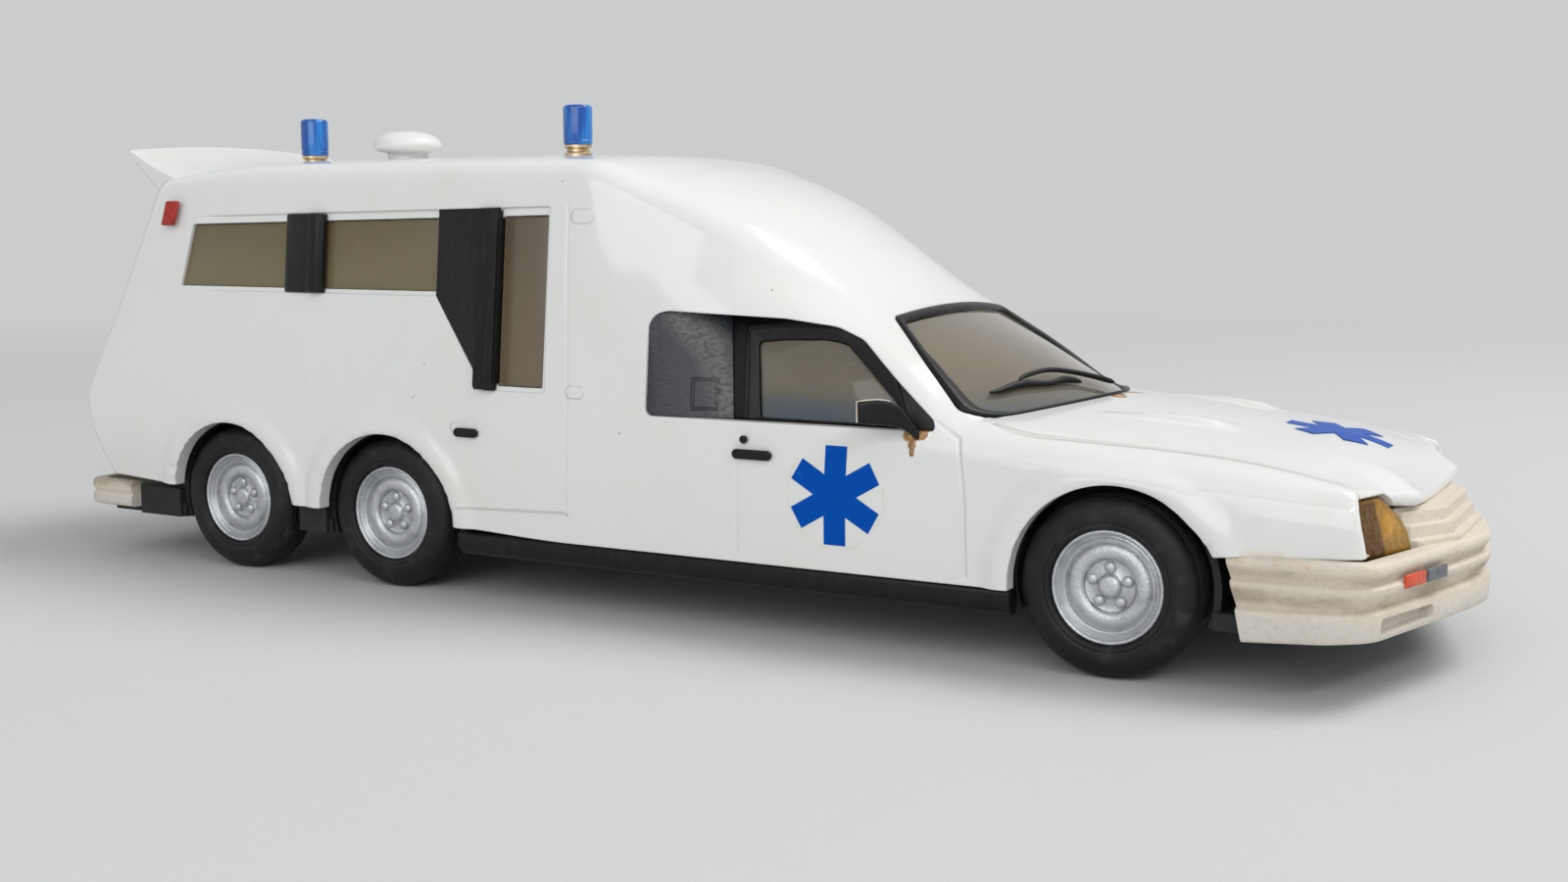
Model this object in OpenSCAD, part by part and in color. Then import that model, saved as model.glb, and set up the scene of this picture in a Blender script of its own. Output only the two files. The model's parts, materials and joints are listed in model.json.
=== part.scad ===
// Six-wheeled model ambulance: a cast body on a base plate, with wheels that turn on their axles.
// +X is the front, +Y the left side and +Z up. The origin is on the ground under the middle of the car.

/* [Overall] */
// Front axle to the foremost point of the front bumper
front_overhang = 25.3; // [24:0.1:28]
// Front axle to middle axle
wheelbase = 72.6; // [70:0.1:78]
// Middle axle to rear axle
axle_gap = 20.4; // [19.6:0.1:23]
// Rear axle to the rearmost point of the rear bumper
rear_overhang = 22; // [21.4:0.1:26]
// Width of the body across its widest line
body_w = 41.2; // [40:0.1:44]
// Height of the roof crown above the ground
roof_h = 41.9; // [41:0.1:45]

/* [Body] */
// Wall of the body casting
shell_wall = 1.2; // [0.9:0.1:1.5]
// Foremost point of the front bumper back to the lip of the nose
nose_setback = 4.1; // [3.6:0.1:4.6]
// Thickness of the lip over the grille
lip_h = 0.7; // [0.5:0.1:0.9]
// Solid length of the nose behind its lip
nose_solid = 8; // [7:0.1:9]
// Front axle back to the foot of the windscreen
cowl_back = 6; // [5:0.1:8]
// Front axle back to the head of the windscreen
head_back = 21.6; // [20:0.1:23]
// Front axle back to the front of the box
box_back = 50; // [48:0.1:52]
// Radius along the edge of the tail
tail_round = 0.7; // [0.4:0.1:1]

/* [Wheels] */
// Diameter of a tyre
tyre_d = 14.6; // [14:0.1:15]
// Width of a tyre
tyre_w = 4.5; // [4:0.1:5]
// Diameter of a rim
rim_d = 9.2; // [8.6:0.1:9.8]
// Depth of the rim's dish
rim_dish = 1; // [0.7:0.1:1.3]
// Diameter of an axle
axle_d = 1.6; // [1.4:0.1:2]
// Body side in to the outer face of a front wheel
front_wheel_inset = 0.7; // [0.5:0.1:1.2]
// Body side in to the outer face of a rear wheel
rear_wheel_inset = 1.4; // [1.2:0.1:2]
// Radius of a front wheel arch
front_arch_r = 8.4; // [8.2:0.1:8.8]
// Radius of a rear wheel arch
rear_arch_r = 8.15; // [8:0.05:8.4]
// Radial room of an axle in its bearings
bearing_gap = 0.05; // [0.02:0.01:0.1]

/* [Base] */
// Ground to the underside of the base plate
base_z = 4.6; // [4.3:0.1:5]
// Thickness of the base plate
base_t = 1.4; // [1.2:0.1:1.8]
// Height of the sill below the body
sill_h = 2.25; // [2:0.05:2.6]
// Diameter of a screw post
post_d = 4.8; // [4.4:0.1:5.4]
// Diameter of a screw's shank
screw_d = 1.9; // [1.6:0.1:2.2]
// Diameter of a screw's head
screw_head_d = 3.4; // [3:0.1:3.8]

/* [Front end] */
// Height of the front bumper
bumper_h = 6.15; // [5.8:0.05:6.4]
// Underside of the nose down to the top of the front bumper
bumper_seam = 0.6; // [0.5:0.1:0.9]
// Length of the front bumper along the side
bumper_l = 15.9; // [15:0.1:16.2]
// Thickness of a bumper
bumper_t = 1.6; // [1.3:0.1:1.8]
// Lip of the nose down to the grille's top rib
grille_gap = 0.2; // [0.2:0.05:0.5]
// Height of a headlamp
lamp_h = 4.7; // [4.4:0.1:4.9]
// Nose lip back to the rear of a headlamp
lamp_depth = 4.6; // [4.2:0.1:5]

/* [Windows] */
// Width of the black gasket round the windscreen
gasket_w = 1.1; // [0.8:0.1:1.4]
// Thickness of a pane
pane_t = 0.5; // [0.4:0.05:0.6]
// Depth of a side pane below the body's face
pane_recess = 0.6; // [0.5:0.05:0.7]
// Ground to the top of the side windows at their front end
window_top_z = 36.8; // [36.2:0.1:37.4]
// Height of the long side window
strip_h = 8.3; // [7.6:0.1:8.6]
// Height of the tall window of the side door
tall_h = 16.8; // [16:0.1:17.2]
// Width of the tall window
tall_w = 5.5; // [5:0.1:6]
// Width of the black post behind the tall window
door_post_w = 7.3; // [6.8:0.1:7.8]
// Width of the black post between the long window's panes
mid_post_w = 5.2; // [4.6:0.1:5.8]
// Length of the long side window along its lower edge
strip_l = 34.1; // [33:0.1:35]
// Length of the front door's opening with its quarter panel
door_l = 27.3; // [26.5:0.1:28]
// Height of the front door's opening
door_h = 8.9; // [8.5:0.1:9]
// Body side in to the foot of the door pane
door_inset = 1.7; // [1.5:0.1:1.9]
// Lean of the door pane
door_lean = 18; // [16:0.5:20]
// Width of the tailgate window
tail_pane_w = 27; // [24:0.5:29]
// Height of the tailgate window
tail_pane_h = 9.6; // [8.5:0.1:10]

/* [Fittings] */
// Diameter of a beacon's lens
beacon_d = 2.96; // [2.6:0.02:3.4]
// Height of a beacon's lens
beacon_h = 3.95; // [3.6:0.05:4.6]
// Height of a beacon's base
beacon_base_h = 1.2; // [1:0.05:1.5]
// Diameter of the roof vent's cap
vent_d = 7.3; // [6.6:0.1:8]
// Height of the roof vent
vent_h = 3.1; // [2.6:0.1:3.6]
// Rise of the spoiler's edge above the roof crown
spoiler_rise = 1.85; // [1.5:0.05:2.3]
// Reach of the spoiler behind the end of the roof
spoiler_reach = 7.4; // [6.5:0.1:8.5]
// Width of the spoiler across its tips
spoiler_w = 30.2; // [28:0.1:32]
// Reach of a mirror beyond the body side
mirror_reach = 2.6; // [2:0.1:3.2]
// Length of a front door handle
handle_l = 3.8; // [3.4:0.1:4.4]
// Height of a door handle
handle_h = 0.85; // [0.7:0.05:1]

/* [Hidden] */
$fn = 48;

// How far every cut runs past the face that it opens
overrun = 1;
// Gap between pieces that are glued side by side
glue_gap = 0.05;

// Places along the car
half_w = body_w / 2;
car_l = front_overhang + wheelbase + axle_gap + rear_overhang;
front_x = car_l / 2;
rear_x = -car_l / 2;
front_axle_x = front_x - front_overhang;
middle_axle_x = front_axle_x - wheelbase;
rear_axle_x = middle_axle_x - axle_gap;
tyre_r = tyre_d / 2;
rim_r = rim_d / 2;
axle_r = axle_d / 2;
axle_z = tyre_r;
base_top_z = base_z + base_t;

// Lines of the body from nose to tail, one row for each station. A row holds the sweep behind the
// centre line and the place off it as shares of half the width, then the height as a share of the
// roof's. The shoulder's last column is the length over which it is rounded. The crown has its height
// and where its tangents meet on the way from the middle to the shoulder.
sill_shares = [[.10, .92, .265], [.165, .98, .257], [.29, .99, .155], [.44, .99, .155], [.30, .99, .155],
  [.15, .99, .155], [.10, .99, .155], [.05, .99, .155], [.02, .99, .155], [0, .99, .155], [0, .99, .165],
  [0, .985, .185], [.35, .95, .21]];
bulge_shares = [[.115, .937, .31], [.165, .995, .31], [.29, 1, .31], [.44, 1, .31], [.30, 1, .31],
  [.15, 1, .31], [.10, 1, .31], [.05, 1, .31], [.02, 1, .31], [0, 1, .31], [0, 1, .31],
  [0, 1, .31], [.465, .972, .31]];
belt_shares = [[.13, .922, .348], [.165, .98, .3675], [.29, .988, .387], [.44, .98, .41], [.30, .978, .42],
  [.15, .975, .428], [.10, .975, .43], [.05, .98, .43], [.02, .985, .427], [0, .985, .425], [0, .985, .418],
  [0, .985, .413], [.52, .957, .408]];
eave_shares = [[.14, .893, .375], [.155, .922, .401], [.25, .927, .4225], [.37, .922, .444],
  [.205, .885, .535], [.06, .82, .613], [.05, .865, .65], [.03, .922, .656], [.015, .947, .656],
  [0, .954, .656], [0, .952, .656], [0, .947, .652], [.277, .922, .644]];
shoulder_shares = [[.145, .845, .384, .04], [.145, .85, .415, .05], [.22, .85, .437, .05],
  [.30, .85, .463, .02], [.155, .745, .5575, .025], [.025, .585, .652, .03], [.015, .645, .73, .06],
  [0, .738, .8425, .08], [0, .815, .9165, .10], [0, .885, .975, .12], [0, .89, .978, .12],
  [0, .885, .974, .12], [0, .87, .9475, .09]];
crown_shares = [[.348, .5], [.427, .5], [.470, .45], [.4915, .3], [.584, .4], [.67, .5], [.80, .5],
  [.912, .5], [.969, .5], [.995, .5], [1, .5], [.999, .5], [.973, .5]];
// Lengths over which the lower lines are rounded, as shares of half the width
bulge_round_share = 0.1;
belt_round_share = 0.08;
eave_round_share = 0.15;
// A rounded corner takes at most this share of the sides that meet in it
corner_limit_share = 0.45;
// How far the inside of the casting lies inwards and down, as shares of its wall
sill_inset_shares = [1, 4];
bulge_inset_shares = [1, 0];
belt_inset_shares = [1, .2];
eave_inset_shares = [1, .3];
shoulder_inset_shares = [1, 1];
// Stations between the named places, as shares of the stretch
bonnet_station_shares = [.30, .65];
screen_station_share = .5;
fairing_station_shares = [.24, .52, .77];
box_station_shares = [.22, .75];

nose_x = front_x - nose_setback;
cowl_x = front_axle_x - cowl_back;
head_x = front_axle_x - head_back;
box_x = front_axle_x - box_back;
// The tail stops short of the rear bumper's face
bumper_proud = 0.7;
tail_x = rear_x + bumper_proud;
roof_end_x = tail_x + half_w * belt_shares[len(belt_shares) - 1][0];
station_x = [nose_x, for (s = bonnet_station_shares) mix(nose_x, cowl_x, s), cowl_x,
  mix(cowl_x, head_x, screen_station_share), head_x,
  for (s = fairing_station_shares) mix(head_x, box_x, s), box_x,
  for (s = box_station_shares) mix(box_x, roof_end_x, s), roof_end_x];
// The stations at which the upper lines break: the foot and the head of the windscreen
creases = [3, 5];
// The station behind the front of the box
box_station = 10;
// Rings of the casting in each stretch between stations, outside and inside
outer_steps = [4, 4, 5, 4, 4, 3, 3, 3, 3, 4, 6, 4];
inner_steps = [2, 2, 3, 2, 2, 2, 2, 2, 2, 2, 3, 2];

// Value part of the way from a to b
function mix(a, b, t) = a + (b - a) * t;
function column(table, k) = [for (row = table) row[k]];
// Station that a place lies at or behind
function stretch(x) = max([for (i = [0:len(station_x) - 2]) if (i == 0 || x <= station_x[i]) i]);
function secant(v, i) = (v[i + 1] - v[i]) / (station_x[i + 1] - station_x[i]);
// Slope through a station that never swings past its neighbours
function joined(a, b) = a * b <= 0 ? 0 : 2 * a * b / (a + b);
function breaks(i, creased) = i == 0 || i == len(station_x) - 1 || (creased && len(search(i, creases)) > 0);
function slope(v, i, side, creased) = breaks(i, creased) ? secant(v, side)
  : joined(secant(v, i - 1), secant(v, i));
// Smooth value of a column of shares at a place along the car
function along(v, x, creased) = let (
    i = stretch(x),
    h = station_x[i + 1] - station_x[i],
    t = (x - station_x[i]) / h,
    m = slope(v, i, i, creased),
    n = slope(v, i + 1, i, creased))
  v[i] * (1 + 2 * t) * pow(1 - t, 2) + v[i + 1] * (3 - 2 * t) * t * t
    + h * t * (1 - t) * (m * (1 - t) - n * t);
// Point of a body line at a place along the car, drawn in by shares of a wall
function line_point(table, x, creased = false, wall = 0, inset = [0, 0]) = [
  x - half_w * along(column(table, 0), x, creased),
  half_w * along(column(table, 1), x, creased) - wall * inset[0],
  roof_h * along(column(table, 2), x, creased) - wall * inset[1]];
function crown_z(x) = roof_h * along(column(crown_shares, 0), x, true);
// Points of a curve from a to c that bends towards b
function bend(a, b, c, n) = [for (i = [0:n]) let (t = i / n)
  (1 - t) * (1 - t) * a + 2 * t * (1 - t) * b + t * t * c];
function toward(a, b, r) = a + (b - a) * min(corner_limit_share, r / norm(b - a));
function corner(a, b, c, r, n) = bend(toward(b, a, r), b, toward(b, c, r), n);
function between(a, b, n) = [for (i = [1:n - 1]) mix(a, b, i / n)];
function tail_of(list) = [for (i = [1:len(list) - 1]) list[i]];

// Shoulder, the tangents' meeting point and the middle of the crown at a place along the car
function crown_frame(x, wall = 0) = let (
    shoulder = line_point(shoulder_shares, x, true, wall, shoulder_inset_shares),
    top = [x, 0, crown_z(x) - wall])
  [shoulder, [x, shoulder.y * along(column(crown_shares, 1), x, true), top.z], top,
    half_w * along(column(shoulder_shares, 3), x, true)];
// Number of points of a half section below the eave, which the nose's lip leaves at their height
low_points = 9;
// Half of a section, from the sill up over the shoulder to the middle of the crown
function half_section(x, wall = 0) = let (
    sill = line_point(sill_shares, x, false, wall, sill_inset_shares),
    bulge = line_point(bulge_shares, x, false, wall, bulge_inset_shares),
    belt = line_point(belt_shares, x, false, wall, belt_inset_shares),
    eave = line_point(eave_shares, x, true, wall, eave_inset_shares),
    c = crown_frame(x, wall),
    low = corner(sill, bulge, belt, half_w * bulge_round_share, 2),
    mid = corner(bulge, belt, eave, half_w * belt_round_share, 3),
    high = corner(belt, eave, c[0], half_w * eave_round_share, 3),
    top = corner(eave, c[0], c[1], c[3], 4))
  concat([sill], low, between(low[2], mid[0], 2), mid, between(mid[3], high[0], 3), high,
    between(high[3], top[0], 3), top, tail_of(bend(top[4], c[1], c[2], 6)));
// The whole ring: right side up, left side down
function ring(half) = concat([for (p = half) [p.x, -p.y, p.z]],
  [for (i = [len(half) - 2:-1:0]) half[i]]);
// The lip leans back under its edge by this share of its thickness
lip_set_share = 0.4;
function lip_half(half) = [for (i = [0:len(half) - 1])
  half[i] - [lip_h * lip_set_share, 0, i < low_points ? 0 : lip_h]];
function drawn_in(half) = [for (i = [0:len(half) - 1])
  [half[i].x, half[i].y * (1 - tail_round / half_w), half[i].z - (i < low_points ? 0 : tail_round)]];
function moved(half, x) = [for (p = half) p + [x, 0, 0]];
function places(steps) = [for (i = [0:len(steps) - 1], k = [0:steps[i] - 1])
  mix(station_x[i], station_x[i + 1], k / steps[i])];
function outer_rings() = concat([ring(lip_half(half_section(nose_x)))],
  [for (x = places(outer_steps)) ring(half_section(x))],
  [ring(moved(half_section(roof_end_x), tail_round)), ring(drawn_in(half_section(roof_end_x)))]);
hollow_x = nose_x - nose_solid;
function inner_rings() = concat([ring(half_section(hollow_x, shell_wall))],
  [for (x = places(inner_steps)) if (x < hollow_x - overrun) ring(half_section(x, shell_wall))],
  [ring(moved(half_section(roof_end_x, shell_wall), shell_wall))]);

// Closed skin over a row of rings, with both ends zipped up from side to side
module skin(rings) {
  n = len(rings[0]);
  m = (n - 1) / 2;
  last = (len(rings) - 1) * n;
  walls = [for (i = [0:len(rings) - 2], k = [0:n - 1]) let (a = i * n + k, b = i * n + (k + 1) % n)
    each [[a, a + n, b], [b, a + n, b + n]]];
  caps = [for (k = [0:m - 1]) each concat(
    [[k, k + 1, n - 1 - k], [last + k + 1, last + k, last + n - 1 - k]],
    k == m - 1 ? []
      : [[k + 1, n - 2 - k, n - 1 - k], [last + n - 2 - k, last + k + 1, last + n - 1 - k]])];
  polyhedron([for (r = rings) each r], concat(walls, caps), convexity = 6);
}

// Children on the right side, or mirrored to the left
module on_side(left) {
  if (left) mirror([0, 1, 0]) children();
  else children();
}

// Frame on a leaning side: local x runs forward, local y up the face and local z out of it
module on_face(y, z, lean) {
  translate([0, -y, z]) rotate([90 - lean, 0, 0]) children();
}

// Flat plate between two depths of the local frame
module plate(points, low, high) {
  translate([0, 0, low]) linear_extrude(high - low) polygon(points);
}

// Outline with its corners rounded, as a prism between two depths
module rounded_plate(points, r, low, high) {
  hull() for (p = points) translate([p.x, p.y, low]) cylinder(r = r, h = high - low, $fn = 16);
}

// Windscreen
// Length of the screen up its middle and half its mean width
screen_l = norm([cowl_x - head_x, crown_z(head_x) - crown_z(cowl_x)]);
screen_half_w = (crown_frame(cowl_x)[0].y + crown_frame(head_x)[0].y) / 2;
// Radii of its corners, first at the head and last at the foot
screen_corner_shares = [.05, .05, .17, .17];
// Widths of the gasket at the sides, the head and the foot, as shares of its width
gasket_shares = [1.1, 1.3, .5];
// Proud height of the gasket and depth of the pane's face
gasket_proud = 0.2;
gasket_depth = 0.9;
screen_recess = 0.25;
function crown_at(x, a) = let (
    c = crown_frame(x),
    start = toward(c[0], c[1], c[3]),
    t = 1 - abs(a),
    p = (1 - t) * (1 - t) * start + 2 * t * (1 - t) * c[1] + t * t * c[2])
  [p.x, a < 0 ? -p.y : p.y, p.z];
probe_share = 0.01;
// Point of the screen from side to side (a) and up its slope (b), lifted off it by h
function screen_point(a, b, h) = let (
    e = probe_share,
    base = crown_at(mix(cowl_x, head_x, b), a),
    across = crown_at(mix(cowl_x, head_x, b), a + e) - crown_at(mix(cowl_x, head_x, b), a - e),
    up = crown_at(mix(cowl_x, head_x, b + e), a) - crown_at(mix(cowl_x, head_x, b - e), a),
    normal = cross(across, up))
  base + h * normal / norm(normal);
screen_corner_steps = 4;
screen_edge_steps = 8;
// Rounded outline of the screen, drawn in from its edge, in lengths about its middle
function screen_loop(inset) = let (
    w = screen_half_w - inset * gasket_shares[0],
    high = screen_l / 2 - inset * gasket_shares[1],
    low = inset * gasket_shares[2] - screen_l / 2,
    r = screen_half_w * screen_corner_shares,
    ends = [[w - r[0], high - r[0]], [r[1] - w, high - r[1]], [r[2] - w, low + r[2]],
      [w - r[3], low + r[3]]],
    arcs = [for (i = [0:3]) [for (k = [0:screen_corner_steps]) let (g = 90 * (i + k / screen_corner_steps))
      ends[i] + r[i] * [cos(g), sin(g)]]])
  [for (i = [0:3]) each concat(arcs[i],
    between(arcs[i][screen_corner_steps], arcs[(i + 1) % 4][0], screen_edge_steps))];
// The outline reaches a little past the shoulders and stops short of the foot
screen_side_share = 1.035;
screen_foot_share = 0.02;
function screen_map(p, h) = screen_point(p.x / screen_half_w * screen_side_share,
  mix(screen_foot_share, 1, (p.y + screen_l / 2) / screen_l), h);
// Rings of points between the outline and the middle of a patch
screen_ring_shares = [1, 0.7, 0.4];

// Filled patch of the screen between two heights
module screen_patch(inset, low, high) {
  loop = screen_loop(inset);
  n = len(loop);
  k = len(screen_ring_shares);
  points = [for (h = [high, low]) each concat(
    [for (s = screen_ring_shares) each [for (p = loop) screen_map(p * s, h)]], [screen_map([0, 0], h)])];
  side = n * k + 1;
  top = [for (j = [0:k - 2], i = [0:n - 1]) let (a = j * n + i, b = j * n + (i + 1) % n)
    each [[a, a + n, b], [b, a + n, b + n]]];
  fan = [for (i = [0:n - 1]) [(k - 1) * n + i, side - 1, (k - 1) * n + (i + 1) % n]];
  face = concat(top, fan);
  under = [for (f = face) [f[0] + side, f[2] + side, f[1] + side]];
  rim = [for (i = [0:n - 1]) let (b = (i + 1) % n) each [[i, b, i + side], [b, b + side, i + side]]];
  polyhedron(points, concat(face, under, rim), convexity = 4);
}

// Ring of the screen between two insets and two heights
module screen_ring(outer, inner, low, high) {
  a = screen_loop(outer);
  b = screen_loop(inner);
  n = len(a);
  points = concat([for (p = a) screen_map(p, low)], [for (p = a) screen_map(p, high)],
    [for (p = b) screen_map(p, high)], [for (p = b) screen_map(p, low)]);
  faces = [for (j = [0:3], i = [0:n - 1]) let (
      p = j * n + i,
      q = j * n + (i + 1) % n,
      r = (j + 1) % 4 * n + i,
      s = (j + 1) % 4 * n + (i + 1) % n)
    each [[p, r, q], [q, r, s]]];
  polyhedron(points, faces, convexity = 4);
}

module windscreen() {
  color([0.45, 0.42, 0.33, 0.6])
    screen_patch(gasket_w + glue_gap, -screen_recess - pane_t, -screen_recess);
}

module windscreen_gasket() {
  color("black") screen_ring(2 * glue_gap, gasket_w, -gasket_depth, gasket_proud);
}

// Box side: the plane through the eave and the shoulder behind the front of the box
box_eave = line_point(eave_shares, station_x[box_station]);
box_shoulder = line_point(shoulder_shares, station_x[box_station], true);
box_lean = atan((box_eave.y - box_shoulder.y) / (box_shoulder.z - box_eave.z));
function up_box(z) = (z - box_eave.z) / cos(box_lean);
// Front edge of the tall window behind the front of the box
tall_setback = 3;
tall_front_x = box_x - tall_setback;
tall_rear_x = tall_front_x - tall_w;
strip_front_x = tall_rear_x - door_post_w;
strip_rear_x = strip_front_x - strip_l;
strip_rear_set = 1.5;
window_round = 0.15;
// Fall of the windows' head line from its front end to its rear end
head_fall = 0.9;
function head_at(x) = up_box(window_top_z)
  - head_fall * (tall_front_x - x) / (tall_front_x - strip_rear_x);
strip_low = up_box(window_top_z - strip_h);
tall_low = up_box(window_top_z - tall_h);
// Foot of the post's slanted edge
post_foot_share = 0.83;
post_foot_x = mix(strip_front_x, tall_rear_x, post_foot_share);

// Ledge round a pane, at the head, the foot and the sides
ledge_head_w = 0.75;
ledge_foot_w = 0.45;
ledge_side_w = 0.3;
ledge_depth = 0.3;
function strip_outline(inset, ledge) = let (
    rear = strip_rear_x + ledge * ledge_side_w + inset,
    front = strip_front_x - inset,
    foot = strip_low + ledge * ledge_foot_w + inset,
    drop = ledge * ledge_head_w + inset)
  [[rear, foot], [front, foot], [front, head_at(front) - drop],
    [rear + strip_rear_set, head_at(rear + strip_rear_set) - drop]];
function tall_outline(inset, ledge) = let (
    rear = tall_rear_x + inset,
    front = tall_front_x - ledge * ledge_side_w - inset,
    foot = tall_low + ledge * ledge_foot_w + inset,
    drop = ledge * ledge_head_w + inset)
  [[rear, foot], [front, foot], [front, head_at(front) - drop], [rear, head_at(rear) - drop]];
function post_outline(inset) = [[strip_front_x + inset, strip_low + inset],
  [post_foot_x + inset, tall_low + inset], [tall_rear_x - inset, tall_low + inset],
  [tall_rear_x - inset, head_at(tall_rear_x) - inset],
  [strip_front_x + inset, head_at(strip_front_x) - inset]];

module on_box() {
  on_face(box_eave.y, box_eave.z, box_lean) children();
}

module box_cuts() {
  depth = shell_wall * 2;
  on_box() {
    for (ledge = [0, 1]) {
      low = ledge == 0 ? -ledge_depth : -depth;
      rounded_plate(strip_outline(window_round, ledge), window_round, low, overrun);
      rounded_plate(tall_outline(window_round, ledge), window_round, low, overrun);
    }
    hull() plate(post_outline(-glue_gap), -depth, overrun);
  }
}

module side_pane(left) {
  color([0.38, 0.34, 0.24]) on_side(left) on_box()
    plate(strip_outline(glue_gap, 1), -pane_recess - pane_t, -pane_recess);
}

module tall_panes() {
  color([0.38, 0.34, 0.24]) for (left = [false, true]) on_side(left) on_box()
    plate(tall_outline(glue_gap, 1), -pane_recess - pane_t, -pane_recess);
}

// The post between the long window's panes: a plate with a ridge along its front edge
mid_post_setback = 14;
mid_post_ridge = 0.75;
ridge_shares = [[0, 0], [1, 0], [1, .5], [.9, 1], [.72, 1], [.62, .55], [.12, .45], [0, .2]];
module mid_posts() {
  x = strip_front_x - mid_post_setback - mid_post_w;
  l = head_at(x) - strip_low - 2 * glue_gap;
  depth = ledge_depth - glue_gap;
  profile = [for (s = ridge_shares) [x + s.x * mid_post_w, s.y * (depth + mid_post_ridge) - depth]];
  color("black") for (left = [false, true]) on_side(left) on_box()
    translate([0, strip_low + glue_gap + l, 0]) rotate([90, 0, 0]) linear_extrude(l) polygon(profile);
}

// The post behind the tall window: a flush plate with two upright ribs
post_rib_w = 1.1;
post_rib_proud = 0.45;
post_depth = 0.9;
module door_posts() {
  color("black") for (left = [false, true]) on_side(left) on_box() {
    plate(post_outline(glue_gap), -post_depth, 0);
    for (k = [0, 1]) let (
        x = tall_rear_x - glue_gap - (k + 1) * post_rib_w,
        front = x + post_rib_w - glue_gap,
        low = tall_low + glue_gap,
        high = head_at(x) - glue_gap)
      plate([[x, low], [front, low], [front, high], [x, high]], 0, post_rib_proud);
  }
}

// Front door: an opening with a leaning pane in its frame and a quarter panel that curves in to it
// Front axle back to the front tip of the door's opening
door_front_back = 14.8;
door_rear_x = front_axle_x - door_l - door_front_back;
// Height of the window line as a share of the roof's
window_line_share = 0.443;
door_z = roof_h * window_line_share;
door_y = half_w - door_inset;
quarter_l = 8.05;
frame_rear_x = door_rear_x + quarter_l;
// Outline of the opening from its front tip over the roof edge to the rear, as shares of its size
door_shares = [[1, 0], [.995, .09], [.90, .33], [.78, .62], [.71, .79], [.62, .905], [.46, .975],
  [.29, 1], [.06, 1.03], [.02, .99], [0, .90], [0, .04], [.015, 0]];
function door_outline(inset) = [for (s = door_shares)
  [door_rear_x + inset + s.x * (door_l - 2 * inset), door_z + inset + s.y * (door_h - 2 * inset)]];

// Side cuts leave this share of half the width
side_cut_share = 0.6;
module door_cut() {
  translate([0, -half_w * side_cut_share, 0]) rotate([90, 0, 0]) linear_extrude(half_w)
    polygon(door_outline(0));
}

module on_door() {
  on_face(door_y, door_z, door_lean) children();
}

// The door's rear edges lean back by this share of the way up
door_shear_share = 0.19;
frame_l = door_rear_x + door_l - frame_rear_x;
frame_h = door_h / cos(door_lean);
frame_t = 0.8;
frame_set = 0.6;
// Raised line round the pane
frame_line_gap = 1;
frame_line_w = 0.4;
frame_line_h = 0.2;
// Outlines as shares of the length ahead of the rear edge and of the height
frame_outer_shares = [[0, -.1], [1.2, -.1], [1.2, 1.2], [0, 1.2]];
frame_inner_shares = [[.859, .043], [.803, .26], [.70, .50], [.582, .762], [.53, .79], [.458, .805],
  [.26, .79], [.145, .765], [.13, .735], [.132, .06], [.14, .043]];
// Where an outline's front half and its upper half begin
frame_middle_shares = [.5, .4];
function frame_outline(shares, grow) = [for (s = shares) [
  frame_rear_x + s.x * frame_l - s.y * frame_h * door_shear_share
    + (s.x < frame_middle_shares.x ? -grow : grow),
  s.y * frame_h + (s.y < frame_middle_shares.y ? -grow : grow)]];

// Only what lies inside the door's opening
module in_door() {
  intersection() {
    union() children();
    rotate([90, 0, 0]) linear_extrude(half_w) polygon(door_outline(glue_gap));
  }
}

module door_frame(left) {
  color("black") on_side(left) in_door() on_door() difference() {
    union() {
      plate(frame_outline(frame_outer_shares, 0), -frame_set - frame_t, -frame_set);
      plate(frame_outline(frame_inner_shares, frame_line_gap + frame_line_w), -frame_set - frame_t,
        frame_line_h - frame_set);
    }
    plate(frame_outline(frame_inner_shares, frame_line_gap), -frame_set, overrun);
    plate(frame_outline(frame_inner_shares, 0), -frame_set - frame_t - overrun, overrun);
  }
}

module door_pane(left) {
  color([0.3, 0.28, 0.24, 0.7]) on_side(left) in_door() on_door()
    plate(frame_outline(frame_inner_shares, -glue_gap), -frame_set - frame_t, -frame_set - frame_line_h);
}

// Quarter panel: a ruled sheet from the body's face in to the door frame
quarter_steps = 8;
quarter_t = 0.7;
quarter_gap = 0.15;
quarter_curve = 1.7;
quarter_flush = 0.15;
function quarter_point(t, v, depth) = let (
    z = door_z - overrun + v * (door_h + 2 * overrun),
    up = (z - door_z) / cos(door_lean),
    x = mix(door_rear_x - overrun, frame_rear_x - quarter_gap - up * door_shear_share, t),
    outer = mix(line_point(belt_shares, x).y, line_point(eave_shares, x, true).y, v) - quarter_flush,
    inner = door_y - (z - door_z) * tan(door_lean) - frame_set)
  [x, -mix(outer, inner, pow(t, quarter_curve)) + depth, z];
module quarter_panel(left) {
  n = quarter_steps;
  sheet = [for (i = [0:n]) [quarter_point(i / n, 0, 0), quarter_point(i / n, 1, 0),
    quarter_point(i / n, 1, quarter_t), quarter_point(i / n, 0, quarter_t)]];
  walls = [for (i = [0:n - 1], k = [0:3]) let (a = i * 4 + k, b = i * 4 + (k + 1) % 4)
    each [[a, b, a + 4], [b, b + 4, a + 4]]];
  ends = [[0, 2, 1], [0, 3, 2], [4 * n, 4 * n + 1, 4 * n + 2], [4 * n, 4 * n + 2, 4 * n + 3]];
  color([0.12, 0.12, 0.13]) on_side(left) in_door()
    polyhedron([for (row = sheet) each row], concat(walls, ends), convexity = 4);
}

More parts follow.
